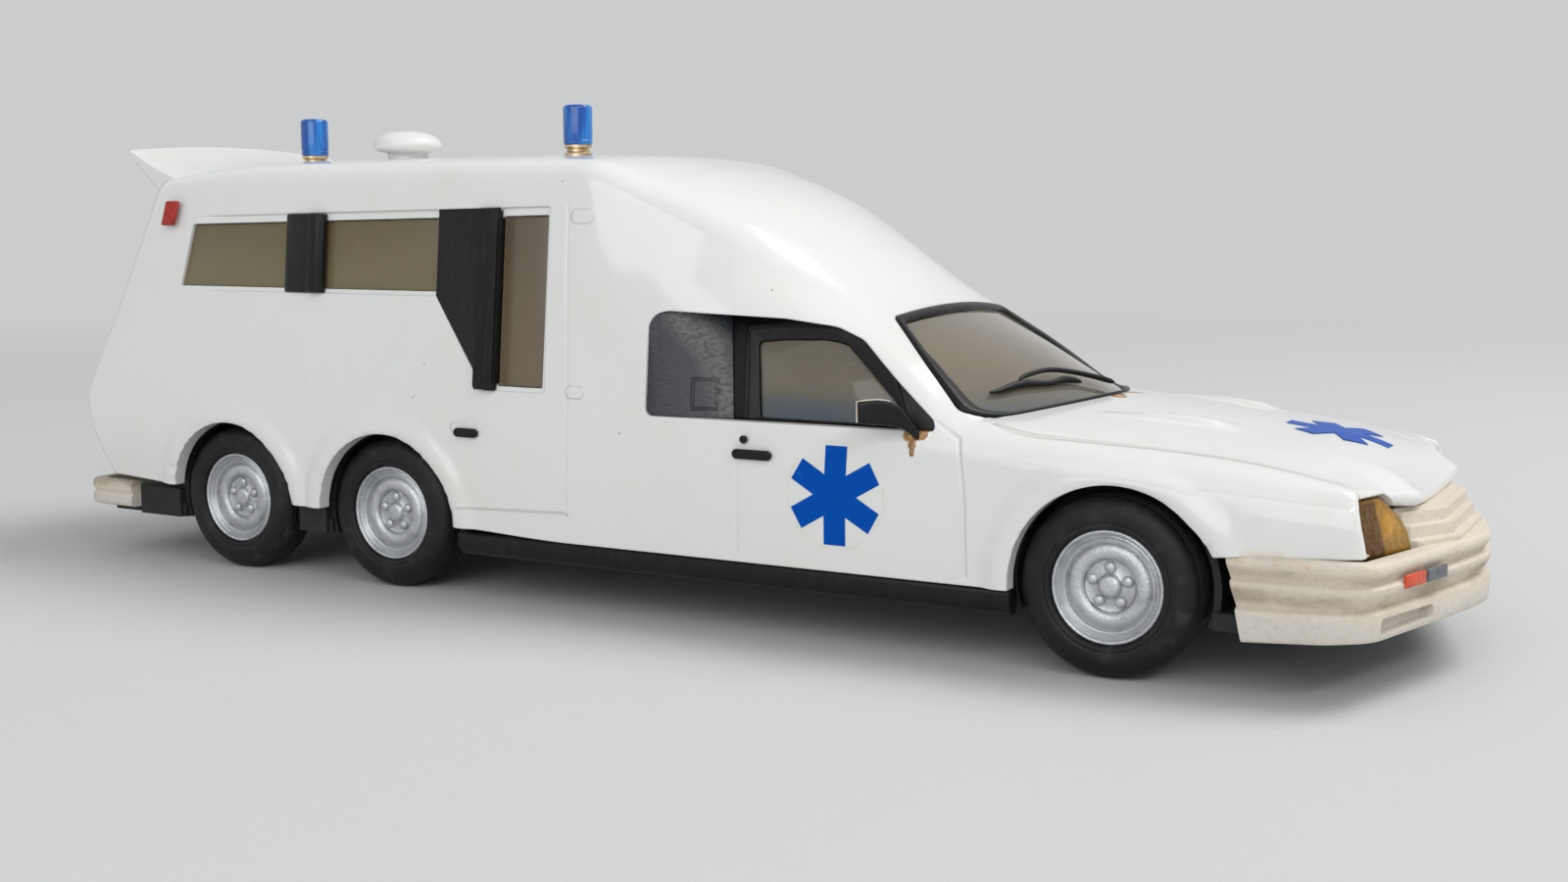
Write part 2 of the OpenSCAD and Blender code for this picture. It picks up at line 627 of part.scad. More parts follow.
// Tailgate: the plane from the eave up to the shoulder at the end of the roof
tail_eave = line_point(eave_shares, roof_end_x);
tail_shoulder = line_point(shoulder_shares, roof_end_x, true);
tail_lean = atan((tail_shoulder.x - tail_eave.x) / (tail_shoulder.z - tail_eave.z));
tail_pane_round = 1.6;
tail_gasket_w = 0.8;
tail_gasket_proud = 0.15;
tail_pane_rise_share = 0.48;
// Local x runs to the right, local y up the face and local z out of it
module on_tail(at, lean) {
  translate(at) rotate([90 - lean, 0, -90]) children();
}
function tail_outline(inset) = [for (s = [[-1, -1], [1, -1], [1, 1], [-1, 1]])
  [s.x * (tail_pane_w / 2 - inset), s.y * (tail_pane_h / 2 - inset)]];
module on_tailgate() {
  at = mix(tail_eave, tail_shoulder, tail_pane_rise_share);
  on_tail([at.x, 0, at.z], tail_lean) children();
}
module tail_prism(inset, low, high) {
  rounded_plate(tail_outline(inset + tail_pane_round), tail_pane_round, low, high);
}

module tailgate_pane() {
  color([0.38, 0.34, 0.24]) on_tailgate()
    tail_prism(tail_gasket_w + glue_gap, -pane_recess - pane_t, -pane_recess);
}

module tailgate_gasket() {
  color("black") on_tailgate() difference() {
    tail_prism(glue_gap, -post_depth, tail_gasket_proud);
    tail_prism(tail_gasket_w, -post_depth - overrun, tail_gasket_proud + overrun);
  }
}

// Tail lamps on the lower face of the tail
tail_belt = line_point(belt_shares, roof_end_x);
tail_bulge = line_point(bulge_shares, roof_end_x);
tail_low_lean = atan((tail_belt.x - tail_bulge.x) / (tail_belt.z - tail_bulge.z));
tail_lamp_w = 3.6;
tail_lamp_h = 3.2;
tail_lamp_proud = 0.45;
tail_lamp_y_share = 0.78;
tail_lamp_rise_share = 0.5;
module tail_lamps() {
  at = mix(tail_bulge, tail_belt, tail_lamp_rise_share);
  color("firebrick") for (left = [false, true]) on_side(left)
    on_tail([at.x, -half_w * tail_lamp_y_share, at.z], tail_low_lean)
      translate([-tail_lamp_w / 2, -tail_lamp_h / 2, glue_gap])
        cube([tail_lamp_w, tail_lamp_h, tail_lamp_proud]);
}

// Red markers near the end of the roof
marker_w = 1.8;
marker_h = 2.5;
marker_t = 0.35;
marker_setback = 1.5;
marker_z_share = 0.835;
marker_top_set = 0.6;
module roof_markers() {
  v = up_box(roof_h * marker_z_share);
  x = roof_end_x + marker_setback;
  top_x = x + marker_top_set;
  color("red") for (left = [false, true]) on_side(left) on_box()
    plate([[x, v], [x + marker_w, v], [top_x + marker_w, v + marker_h], [top_x, v + marker_h]],
      glue_gap, glue_gap + marker_t);
}

// Wheel arches: a round hollow and a smaller one ahead of it
arch_offset = 0.6;
arch_lift_share = 0.97;
arch_front_share = 0.91;
arch_front_offset = 1.7;
module arch_cut(x, r) {
  hull() for (s = [[arch_offset, r], [arch_front_offset, r * arch_front_share]])
    translate([x + s[0], -half_w * side_cut_share, axle_z * arch_lift_share]) rotate([90, 0, 0])
      cylinder(r = s[1], h = half_w);
}

// Headlamps: a slanted block in a pocket between the fender and the nose
lamp_inner_share = 0.50;
lamp_outer_share = 0.84;
lamp_top_share = 0.62;
bumper_top_z = roof_h * sill_shares[0][2] - bumper_seam;
lamp_z = bumper_top_z + glue_gap;
lamp_outer_set = 2.7;
lamp_inner_set = 0.2;
notch_set = 2.6;
function lamp_front(inset, drop) = let (
    a = half_w * lamp_inner_share + inset,
    b = half_w * lamp_outer_share - inset,
    low = lamp_z + inset)
  [[-a, low - drop], [-b, low - drop], [-b, lamp_z + lamp_h - inset],
    [-half_w * lamp_top_share - inset, lamp_z + lamp_h - inset], [-a, low]];
// Prism along the car from a place forwards, drawn as seen from the front
module front_prism(x, l, points) {
  translate([x, 0, 0]) rotate([90, 0, 90]) linear_extrude(l) polygon(points);
}
module lamp_pocket() {
  a = half_w * lamp_top_share;
  b = half_w * lamp_outer_share;
  front_prism(nose_x - lamp_depth, car_l, lamp_front(0, lamp_h));
  front_prism(nose_x - notch_set, car_l,
    [[-a, lamp_z], [-b, lamp_z], [-b, lamp_z + lamp_h * 2], [-a, lamp_z + lamp_h * 2]]);
}
module headlamp(left) {
  a = half_w * lamp_inner_share;
  b = half_w * lamp_outer_share;
  color("darkgoldenrod") on_side(left) intersection() {
    front_prism(nose_x - lamp_depth + glue_gap, lamp_depth, lamp_front(glue_gap, 0));
    linear_extrude(roof_h) polygon([[nose_x - lamp_depth, -a], [nose_x - lamp_depth, -b],
      [nose_x - lamp_outer_set, -b], [nose_x - lamp_inner_set, -a]]);
  }
}

// Grille: stepped ribs under the lip of the nose
grille_ribs = 3;
grille_rib_depth = 0.6;
grille_groove_share = 0.22;
grille_front_share = 0.26;
grille_side_share = 0.485;
grille_front_set = 1.6;
grille_side_set = 4;
grille_rib_h = (crown_z(nose_x) - lip_h - grille_gap - bumper_top_z - glue_gap) / grille_ribs;
module grille() {
  inner = half_w * grille_front_share;
  outer = half_w * grille_side_share;
  back = nose_x - half_w * sill_shares[0][0] + glue_gap;
  color("antiquewhite") translate([0, 0, bumper_top_z + glue_gap]) for (k = [0:grille_ribs]) {
    front = front_x - grille_front_set - grille_rib_depth * k;
    side = front_x - grille_side_set - grille_rib_depth * k;
    linear_extrude(grille_rib_h * min(k + 1 - grille_groove_share, grille_ribs))
      polygon([[back, -outer], [side, -outer], [front, -inner], [front, inner], [side, outer],
        [back, outer]]);
  }
}

// Bumpers: a section swept round the plan of each end
groove_depth = 0.45;
groove_h = 0.35;
bumper_edge_w = 0.4;
bumper_end_set = 1.3;
// Heights of the two grooves, as shares of the bumper's
groove_shares = [.36, .66];
// Plan from the rear of the side to the middle of the front, as shares of length and half width
// and the lift of the lower edge
front_plan_shares = [[0, .99, 0], [.45, .99, .5], [.61, .965, .8], [.70, .89, 1], [.945, .243, 1],
  [1, 0, 1]];
bumper_lift = 0.9;
function groove(z, r) = [[0, z - r], [groove_depth, z], [0, z + r]];
function bumper_section(h, grooves) = concat([[bumper_t, 0], [bumper_edge_w, 0], [0, bumper_edge_w]],
  [for (s = grooves) each groove(s * h, groove_h / 2)],
  [[0, h - bumper_edge_w], [bumper_edge_w, h], [bumper_t, h]]);
function unit(v) = v / norm(v);
// Inward side of a plan at one of its points, long enough to keep the wall's thickness
function inward(plan, i) = let (
    last = len(plan) - 1,
    a = unit(plan[min(i + 1, last)] - plan[min(i, last - 1)]),
    b = unit(plan[max(i, 1)] - plan[max(i - 1, 0)]),
    n = unit([-(a + b).y, (a + b).x]))
  n / (n * [-a.y, a.x]);
function mirrored_plan(half) = concat([for (p = half) [p.x, -p.y]],
  [for (i = [len(half) - 2:-1:0]) half[i]]);
module swept(plan, section, z, rake, lifts) {
  n = len(section);
  last = len(plan) - 1;
  h = section[n - 1].y;
  points = [for (i = [0:last], s = section) let (p = plan[i] + inward(plan, i) * s.x)
    [p.x + (i == 0 || i == last ? rake * (1 - s.y / h) : 0), p.y, z + s.y + lifts[i] * (1 - s.y / h)]];
  walls = [for (i = [0:last - 1], k = [0:n - 1]) let (a = i * n + k, b = i * n + (k + 1) % n)
    each [[a, b, a + n], [b, b + n, a + n]]];
  cap = [for (k = [1:n - 2]) [0, k + 1, k]];
  far = [for (f = cap) [last * n + f[0], last * n + f[2], last * n + f[1]]];
  polyhedron(points, concat(walls, cap, far), convexity = 6);
}
front_plan = mirrored_plan([for (s = front_plan_shares)
  [front_x - bumper_l * (1 - s.x), half_w * s.y]]);
front_lifts = concat([for (s = front_plan_shares) s[2] * bumper_lift],
  [for (i = [len(front_plan_shares) - 2:-1:0]) front_plan_shares[i][2] * bumper_lift]);
bumper_z = bumper_top_z - bumper_h;
// Air intakes low in the front bumper
intake_in_share = 0.3;
intake_out_share = 0.75;
intake_h = 1.7;
intake_depth = 0.8;
// Angled face of the front bumper, from its corner to the middle
face_a = front_plan[3];
face_b = front_plan[4];
face_l = norm(face_b - face_a);
module on_bumper(left) {
  on_side(left) translate([face_a.x, face_a.y, bumper_z])
    rotate([90, 0, atan2(face_b.y - face_a.y, face_b.x - face_a.x)]) children();
}
module front_bumper() {
  color("antiquewhite") difference() {
    swept(front_plan, bumper_section(bumper_h, groove_shares), bumper_z, bumper_end_set, front_lifts);
    for (left = [false, true]) on_bumper(left)
      translate([face_l * intake_in_share, bumper_lift + bumper_edge_w, -intake_depth])
        cube([face_l * (intake_out_share - intake_in_share), intake_h, intake_depth + overrun]);
  }
}

// Plan of the rear bumper from the front of its side to the middle of the tail
rear_bumper_l = 7.7;
rear_bumper_h = 2.7;
rear_bumper_seam = 0.8;
rear_bumper_top_z = roof_h * sill_shares[len(sill_shares) - 1][2] - rear_bumper_seam;
rear_plan_shares = [[0, .975], [.72, .97], [.92, .93], [1, .80], [1, 0]];
rear_groove_shares = [.55];
module rear_bumper() {
  plan = mirrored_plan([for (s = rear_plan_shares)
    [-rear_x - rear_bumper_l * (1 - s.x), half_w * s.y]]);
  section = bumper_section(rear_bumper_h, rear_groove_shares);
  color("antiquewhite") rotate([0, 0, 180])
    swept(plan, section, rear_bumper_top_z - rear_bumper_h, 0, [for (p = plan) 0]);
}

// Lamps painted on blocks in the front bumper's middle band
indicator_l = 3.2;
bumper_lamp_l = 3.2;
bumper_lamp_h = 1;
bumper_lamp_t = 0.3;
indicator_start_share = 0.19;
bumper_lamp_gap = 0.3;
bumper_lamp_rise_share = 0.71;
module bumper_block(start, l) {
  for (left = [false, true]) on_bumper(left)
    translate([start, bumper_h * bumper_lamp_rise_share, glue_gap]) cube([l, bumper_lamp_h, bumper_lamp_t]);
}
module indicators() {
  color("orangered") bumper_block(face_l * indicator_start_share, indicator_l);
}
module bumper_lamps() {
  color("slategray")
    bumper_block(face_l * indicator_start_share + indicator_l + bumper_lamp_gap, bumper_lamp_l);
}

// Beacons and vent on the middle of the roof
front_beacon_setback = 13.2;
rear_beacon_ahead = 4.8;
vent_share = 0.662;
front_beacon_x = box_x - front_beacon_setback;
rear_beacon_x = roof_end_x + rear_beacon_ahead;
vent_x = mix(box_x, roof_end_x, vent_share);
beacon_base_share = 0.95;
beacon_base_r = beacon_d / 2 * beacon_base_share;
beacon_neck_share = 0.8;
beacon_dome_share = 0.2;
// Height at which a round foot clears the curve of the crown
function seat_z(x, r) = max(crown_z(x - r), crown_z(x), crown_z(x + r)) + glue_gap;
module beacon_base(x) {
  h = beacon_base_h;
  r = beacon_base_r;
  color("gold") translate([x, 0, seat_z(x, r)]) rotate_extrude()
    polygon([[0, 0], [r, 0], [r, h * (1 - beacon_neck_share)], [r * beacon_neck_share, h / 2],
      [r, h * beacon_neck_share], [r, h], [0, h]]);
}
module beacon_lens(x) {
  r = beacon_d / 2;
  dome = r * beacon_dome_share;
  color("royalblue") translate([x, 0, seat_z(x, beacon_base_r) + beacon_base_h]) rotate_extrude()
    polygon([[0, 0], [r, 0], [r, beacon_h - dome], [r - dome, beacon_h], [0, beacon_h]]);
}
// Profile of the vent's neck and cap, as shares of its radius and height
vent_shares = [[0, 0], [.62, 0], [.62, .28], [.95, .30], [1, .40], [.97, .54], [.84, .70], [.74, .80],
  [.60, .93], [.42, 1], [0, 1]];
module roof_vent() {
  color("ghostwhite") translate([vent_x, 0, seat_z(vent_x, vent_d / 2 * vent_shares[1].x)]) rotate_extrude()
    polygon([for (s = vent_shares) [s.x * vent_d / 2, s.y * vent_h]]);
}

// Spoiler: a wedge on the end of the roof whose arched edge stands up behind it
// The root starts behind the rear beacon by this gap
spoiler_gap = 0.3;
spoiler_root = rear_beacon_ahead - beacon_d / 2 - spoiler_gap;
spoiler_root_share = 0.96;
spoiler_taper_share = 0.1;
spoiler_edge_t = 0.5;
spoiler_drop = 0.9;
spoiler_steps = 10;
spoiler_arch = 0.75;
spoiler_lift = 0.08;
// Hollow of the top, at a share of the way to the edge
spoiler_hollow = 0.35;
spoiler_hollow_share = 0.5;
// Point of the roof at a share of the way to its shoulder
function roof_point(x, a) = let (c = crown_frame(x))
  [x, a * c[0].y, c[2].z - (c[2].z - c[0].z) * a * a];
// Section at a share of the half width: front of the root, hollow, edge, foot on the tailgate and the
// end of the roof
function spoiler_section(a) = let (
    root = a * spoiler_root_share,
    lift = [0, 0, spoiler_lift],
    front = roof_point(roof_end_x + spoiler_root * (1 - spoiler_taper_share * a * a), root) + lift,
    end = roof_point(roof_end_x, root) + [-tail_gasket_proud, 0, spoiler_lift],
    edge = [roof_end_x - spoiler_reach, a * spoiler_w / 2, roof_h + spoiler_rise - spoiler_arch * a * a])
  [front, mix(front, edge, spoiler_hollow_share) - [0, 0, spoiler_hollow], edge,
    edge - [0, 0, spoiler_edge_t],
    end - [spoiler_drop * tan(tail_lean), 0, spoiler_drop], end];
module spoiler() {
  n = spoiler_steps;
  rows = [for (i = [0:n]) spoiler_section(2 * i / n - 1)];
  m = len(rows[0]);
  walls = [for (i = [0:n - 1], k = [0:m - 1]) let (a = i * m + k, b = i * m + (k + 1) % m)
    each [[a, b, a + m], [b, b + m, a + m]]];
  cap = [[0, 5, 1], [1, 5, 4], [1, 3, 2], [1, 4, 3]];
  far = [for (f = cap) [n * m + f[0], n * m + f[2], n * m + f[1]]];
  color("ghostwhite") polyhedron([for (r = rows) each r], concat(walls, cap, far), convexity = 4);
}

// Wiper on the windscreen: an arm from the cowl to a blade across the lower pane
wiper_r = 0.22;
blade_r = 0.3;
wiper_lift = 0.25;
// Places on the screen from side to side and up its slope
wiper_foot_shares = [.08, .04];
wiper_elbow_shares = [-.36, .25];
wiper_hand_shares = [-.66, .235];
blade_ends_shares = [[-.84, .2], [-.24, .13]];
blade_clip_share = 0.3;
module rod(a, b, r) {
  hull() for (p = [a, b]) translate(p) sphere(r, $fn = 12);
}
module wiper() {
  foot = screen_point(wiper_foot_shares.x, wiper_foot_shares.y, gasket_proud + wiper_r + glue_gap);
  elbow = screen_point(wiper_elbow_shares.x, wiper_elbow_shares.y, blade_r + wiper_r);
  hand = screen_point(wiper_hand_shares.x, wiper_hand_shares.y, blade_r + wiper_r);
  ends = [for (s = blade_ends_shares) screen_point(s.x, s.y, blade_r - screen_recess + wiper_lift)];
  color("black") {
    rod(foot, elbow, wiper_r);
    rod(elbow, hand, wiper_r);
    rod(hand, mix(ends[0], ends[1], blade_clip_share), wiper_r);
    rod(ends[0], ends[1], blade_r);
  }
}

// Mirrors at the foot of the windscreen pillars
mirror_back = 16;
mirror_z_share = 0.44;
mirror_head_w = 4.2;
// Height and depth of the head between its rounded edges
mirror_head_h = 1.5;
mirror_head_d = 1.4;
mirror_r = 0.5;
mirror_rise = 1;
mirror_stalk_r = 0.45;
mirror_set = 2.5;
module mirror_on(left) {
  x = front_axle_x - mirror_back;
  z = roof_h * mirror_z_share;
  tip = half_w + mirror_reach - mirror_r;
  root = tip - mirror_head_w;
  head_front = x - mirror_set;
  foot_y = line_point(belt_shares, x + mirror_back / 2).y + mirror_stalk_r + glue_gap;
  color("black") on_side(left) {
    hull() for (y = [root, tip], h = [0, mirror_head_h], d = [0, mirror_head_d])
      translate([head_front - d, -y, z + mirror_rise + h]) sphere(mirror_r, $fn = 12);
    rod([x, -foot_y, z], [head_front, -foot_y - mirror_stalk_r, z + mirror_rise], mirror_stalk_r);
  }
}

// Door handles and lock buttons on the doors' sides
handle_t = 0.4;
front_handle_back = 31.1;
front_handle_z_share = 0.378;
rear_handle_back = 61.7;
rear_handle_z_share = 0.381;
rear_handle_l_share = 0.72;
lock_r = 0.35;
lock_rise = 1.25;
lock_back = 0.85;
function door_side_y(x, z) = let (a = line_point(bulge_shares, x), b = line_point(belt_shares, x))
  mix(a.y, b.y, (z - a.z) / (b.z - a.z));
module side_button(x, z, l, r) {
  y = door_side_y(x, z) + glue_gap;
  hull() for (s = [-1, 1]) translate([x + s * (l / 2 - r), -y, z]) rotate([90, 0, 0])
    cylinder(r = r, h = handle_t, $fn = 24);
}
module door_handles() {
  x = front_axle_x - front_handle_back;
  z = roof_h * front_handle_z_share;
  r = handle_h / 2;
  color("black") for (left = [false, true]) on_side(left) {
    side_button(x, z, handle_l, r);
    side_button(x - lock_back, z + lock_rise, lock_r * 2, lock_r);
    side_button(front_axle_x - rear_handle_back, roof_h * rear_handle_z_share,
      handle_l * rear_handle_l_share, r);
  }
}

// Wheels: local z points out of the car, from the outer face of the tyre
module at_wheel(x, outer, left) {
  on_side(left) translate([x, -outer, axle_z]) rotate([90, 0, 0]) children();
}
front_wheel_y = half_w - front_wheel_inset;
rear_wheel_y = half_w - rear_wheel_inset;
// Half of a tyre's section, as shares of its height above the rim and of its width
tyre_shares = [[0, .08], [.10, .015], [.34, 0], [.70, .02], [.88, .085], [.97, .17], [1, .27]];
module tyre(x, outer, left) {
  half = [for (s = tyre_shares) [rim_r + s.x * (tyre_r - rim_r), -s.y * tyre_w]];
  back = [for (i = [len(half) - 1:-1:0]) [half[i].x, -tyre_w - half[i].y]];
  color([0.1, 0.1, 0.1]) at_wheel(x, outer, left) rotate_extrude() polygon(concat(half, back));
}
rim_set = 0.36;
rim_back_wall = 1.1;
hub_r = 1.9;
// Face of a rim from its edge to its hub, as shares of its radius and of the dish's depth
rim_shares = [[1, .2], [.97, 0], [.91, 0], [.88, .3], [.80, .38], [.77, .75], [.69, .8], [.66, 1],
  [.60, 1], [.58, .45], [.43, .40], [.40, .75], [.21, .75], [.20, .35], [.15, .22], [0, .2]];
lug_r = 0.42;
lug_count = 5;
lug_ring_share = 0.305;
lug_h = 0.3;
lug_seat_share = 0.8;
rim_bore_share = 0.86;
// An axle's end stops behind the hub's face
hub_face_share = 0.75;
axle_end_wall = 0.5;
axle_end_set = rim_set + rim_dish * hub_face_share + axle_end_wall;
module rim(x, outer, left) {
  face = [for (s = rim_shares) [s.x * rim_r, -rim_set - s.y * rim_dish]];
  floor_z = -rim_set - rim_dish - rim_back_wall;
  back_z = -tyre_w + rim_set;
  color("silver") at_wheel(x, outer, left) difference() {
    union() {
      rotate_extrude() polygon(concat(face, [[0, back_z], [hub_r, back_z], [hub_r, floor_z],
        [rim_r * rim_bore_share, floor_z], [rim_r * rim_bore_share, back_z], [rim_r, back_z]]));
      for (k = [0:lug_count - 1]) rotate(360 * k / lug_count)
        translate([rim_r * lug_ring_share, 0, -rim_set - rim_dish * lug_seat_share])
          cylinder(r = lug_r, h = lug_h);
    }
    translate([0, 0, back_z - overrun]) cylinder(r = axle_r, h = overrun - back_z - axle_end_set);
  }
}
module axle(x, outer) {
  l = outer - axle_end_set;
  color("lightsteelblue") translate([x, l, axle_z]) rotate([90, 0, 0]) cylinder(r = axle_r, h = 2 * l);
}

// Base plate with wheel tubs, bearings and screw holes
base_edge_w = 2.2;
plate_y = half_w - base_edge_w;
tub_gap = 0.7;
tub_t = 0.6;
tub_side = 0.8;
tub_edge_w = 0.4;
tub_y = plate_y - tub_edge_w;
bearing_y_share = 0.5;
bearing_w = 3;
bearing_wall = 1.1;
axle_hole_gap = 0.4;
screw_gap = 0.15;
head_h = 0.7;
head_gap = 0.2;
screw_grip = 5;
front_screw_ahead = 6.4;
screw_x = [front_axle_x + front_screw_ahead, (middle_axle_x + rear_axle_x) / 2];
wheels = [[front_axle_x, front_wheel_y], [middle_axle_x, rear_wheel_y], [rear_axle_x, rear_wheel_y]];
// Ends of the plate as shares of a bumper's length and of half the plate's width
base_nose_shares = [[.42, 1], [.60, .918], [.83, .246]];
base_tail_shares = [[-.03, 1], [-.03, .974], [.62, .974], [.78, .8285]];
base_plan_half = concat(
  [for (i = [2:-1:0]) [front_x - bumper_l * (1 - base_nose_shares[i].x), plate_y * base_nose_shares[i].y]],
  [for (s = base_tail_shares) [rear_x + rear_bumper_l * (1 - s.x), plate_y * s.y]]);
// Skirts beside the rear wheels, down to the plate
skirt_t = 1.6;
skirt_h = 1.6;
skirt_gap = 1.1;
module skirt(x0, x1) {
  translate([x0, -plate_y - tub_edge_w, base_z]) cube([x1 - x0, skirt_t, base_t + skirt_h]);
}
module tub(x, outer) {
  r = tyre_r + tub_gap;
  y = outer - tyre_w - tub_side;
  difference() {
    translate([x, -y + tub_t, axle_z]) rotate([90, 0, 0])
      cylinder(r = r + tub_t, h = tub_y - y + tub_t);
    translate([x, -y, axle_z]) rotate([90, 0, 0]) cylinder(r = r, h = tub_y);
    translate([x, 0, axle_z]) rotate([90, 0, 0]) cylinder(r = axle_r + axle_hole_gap, h = half_w);
    translate([x - 2 * r, -half_w, base_z - 2 * r]) cube([4 * r, half_w, 2 * r]);
  }
}
module chassis() {
  right = [for (p = base_plan_half) [p.x, -p.y]];
  left = [for (i = [len(base_plan_half) - 1:-1:0]) base_plan_half[i]];
  y = half_w * bearing_y_share;
  r = axle_r + bearing_wall;
  color([0.13, 0.13, 0.13]) difference() {
    union() {
      difference() {
        translate([0, 0, base_z]) linear_extrude(base_t) polygon(concat(right, left));
        for (w = wheels, s = [false, true]) on_side(s) let (c = tyre_r + tub_gap)
          translate([w[0] - c, -half_w - overrun, base_z - overrun])
            cube([2 * c, half_w + overrun - (w[1] - tyre_w - tub_side), base_t + 2 * overrun]);
      }
      for (w = wheels, s = [false, true]) on_side(s) {
        tub(w[0], w[1]);
        translate([w[0] - r, -y - bearing_w / 2, base_z]) cube([2 * r, bearing_w, axle_z + r - base_z]);
      }
      for (s = [false, true]) on_side(s) {
        skirt(rear_axle_x + tyre_r + skirt_gap, middle_axle_x - tyre_r - skirt_gap);
        skirt(rear_x + rear_bumper_l + glue_gap, rear_axle_x - tyre_r - skirt_gap);
      }
    }
    for (w = wheels) translate([w[0], half_w, axle_z]) rotate([90, 0, 0])
      cylinder(r = axle_r + bearing_gap, h = 2 * half_w);
    for (x = screw_x) translate([x, 0, base_z]) {
      translate([0, 0, -overrun]) cylinder(r = screw_d / 2 + screw_gap, h = base_t + 2 * overrun);
      translate([0, 0, -overrun]) cylinder(r = screw_head_d / 2 + head_gap, h = head_h + overrun);
    }
  }
}
module base_screws() {
  color("silver") for (x = screw_x) translate([x, 0, base_z]) {
    cylinder(r = screw_head_d / 2, h = head_h);
    cylinder(r = screw_d / 2, h = base_t + screw_grip);
  }
}
module screw_posts() {
  color("ghostwhite") for (x = screw_x) {
    top = min(crown_z(x + post_d / 2), crown_z(x - post_d / 2)) - shell_wall - 2 * glue_gap;
    translate([x, 0, base_top_z]) difference() {
      cylinder(r = post_d / 2, h = top - base_top_z);
      translate([0, 0, -overrun]) cylinder(r = screw_d / 2 + bearing_gap, h = screw_grip + 2 * overrun);
    }
  }
}

// Sills: a rounded bar along the foot of the body between the wheels
sill_profile_shares = [[0, 0], [.34, 0], [.75, .13], [.97, .45], [1, .87], [.9, 1], [0, 1]];
sill_w = 1.75;
sill_front_gap = 0.6;
module sill(left) {
  top = roof_h * sill_shares[5][2] - glue_gap;
  x0 = middle_axle_x + rear_arch_r + arch_front_offset - sill_front_gap;
  x1 = front_axle_x - front_arch_r + arch_offset;
  color([0.08, 0.08, 0.08]) on_side(left) translate([x0, 0, 0]) rotate([90, 0, 90])
    linear_extrude(x1 - x0)
      polygon([for (s = sill_profile_shares)
        [-plate_y - glue_gap - s.x * sill_w, top - (1 - s.y) * sill_h]]);
}

// Inside of the cab
seat_w = 11;
seat_l = 10;
seat_h = 6.5;
seat_back_t = 2.6;
seat_back_h = 10.5;
seat_rake = 12;
seat_back_x = 31;
seat_y_share = 0.42;
head_rest_w = 5.6;
head_rest_h = 2.4;
head_rest_t = 1.6;
module front_seats() {
  x = front_axle_x - seat_back_x;
  y = half_w * seat_y_share;
  color("dimgray") for (s = [-1, 1]) translate([x, s * y - seat_w / 2, base_top_z]) {
    cube([seat_l, seat_w, seat_h]);
    translate([0, 0, seat_h - seat_back_t]) rotate([0, -seat_rake, 0]) {
      cube([seat_back_t, seat_w, seat_back_h]);
      translate([(seat_back_t - head_rest_t) / 2, (seat_w - head_rest_w) / 2, seat_back_h])
        cube([head_rest_t, head_rest_w, head_rest_h]);
    }
  }
}
dash_back = 10.5;
dash_w_share = 0.8;
dash_l = 4.5;
dash_h = 3.6;
firewall_t = 1.2;
dash_z_share = 0.32;
dash_slope_share = 0.6;
dash_column_share = 0.35;
module dashboard() {
  w = half_w * dash_w_share;
  x = front_axle_x - dash_back;
  z = roof_h * dash_z_share;
  rear = firewall_t - dash_l;
  edge_z = z + dash_h * dash_slope_share;
  color("dimgray") translate([x, w, 0]) rotate([90, 0, 0]) linear_extrude(2 * w)
    polygon([[0, base_top_z], [firewall_t, base_top_z], [firewall_t, edge_z],
      [firewall_t - dash_l * dash_slope_share, z + dash_h], [rear, edge_z], [rear, z], [0, z]]);
}
wheel_ring_d = 8.6;
wheel_ring_t = 0.8;
wheel_lean = 24;
column_l = 2.2;
column_gap = 0.4;
module steering_wheel() {
  x = front_axle_x - dash_back + firewall_t - dash_l - glue_gap;
  z = roof_h * dash_z_share + dash_h * dash_column_share;
  r = wheel_ring_d / 2 - wheel_ring_t / 2;
  color("black") translate([x, half_w * seat_y_share, z]) rotate([0, -90 + wheel_lean, 0]) {
    translate([0, 0, column_gap]) cylinder(r = wheel_ring_t, h = column_l - column_gap);
    translate([0, 0, column_l]) {
      rotate_extrude() translate([r, 0]) circle(wheel_ring_t / 2);
      translate([-r, -wheel_ring_t, -wheel_ring_t / 2]) cube([2 * r, 2 * wheel_ring_t, wheel_ring_t]);
    }
  }
}

// Bulkhead between the cab and the box
bulkhead_t = 1;
bulkhead_back = 46;
bulkhead_gap = 0.5;
module bulkhead() {
  x = front_axle_x - bulkhead_back;
  half = half_section(x + 2 * bulkhead_t, shell_wall + bulkhead_gap);
  side = concat([[tub_y, base_top_z]],
    [for (p = half) if (p.z > base_top_z + overrun) [p.y, p.z]]);
  color("gray") translate([x, 0, 0]) rotate([90, 0, 90]) linear_extrude(bulkhead_t)
    polygon(concat(side, [for (i = [len(side) - 2:-1:0]) [-side[i].x, side[i].y]]));
}

module body_shell() {
  color("ghostwhite") difference() {
    skin(outer_rings());
    skin(inner_rings());
    screen_patch(0, -shell_wall * 2, overrun);
    on_tailgate() tail_prism(0, -shell_wall * 2, overrun);
    for (left = [false, true]) on_side(left) {
      door_cut();
      box_cuts();
      lamp_pocket();
      arch_cut(front_axle_x, front_arch_r);
      arch_cut(middle_axle_x, rear_arch_r);
      arch_cut(rear_axle_x, rear_arch_r);
    }
  }
}

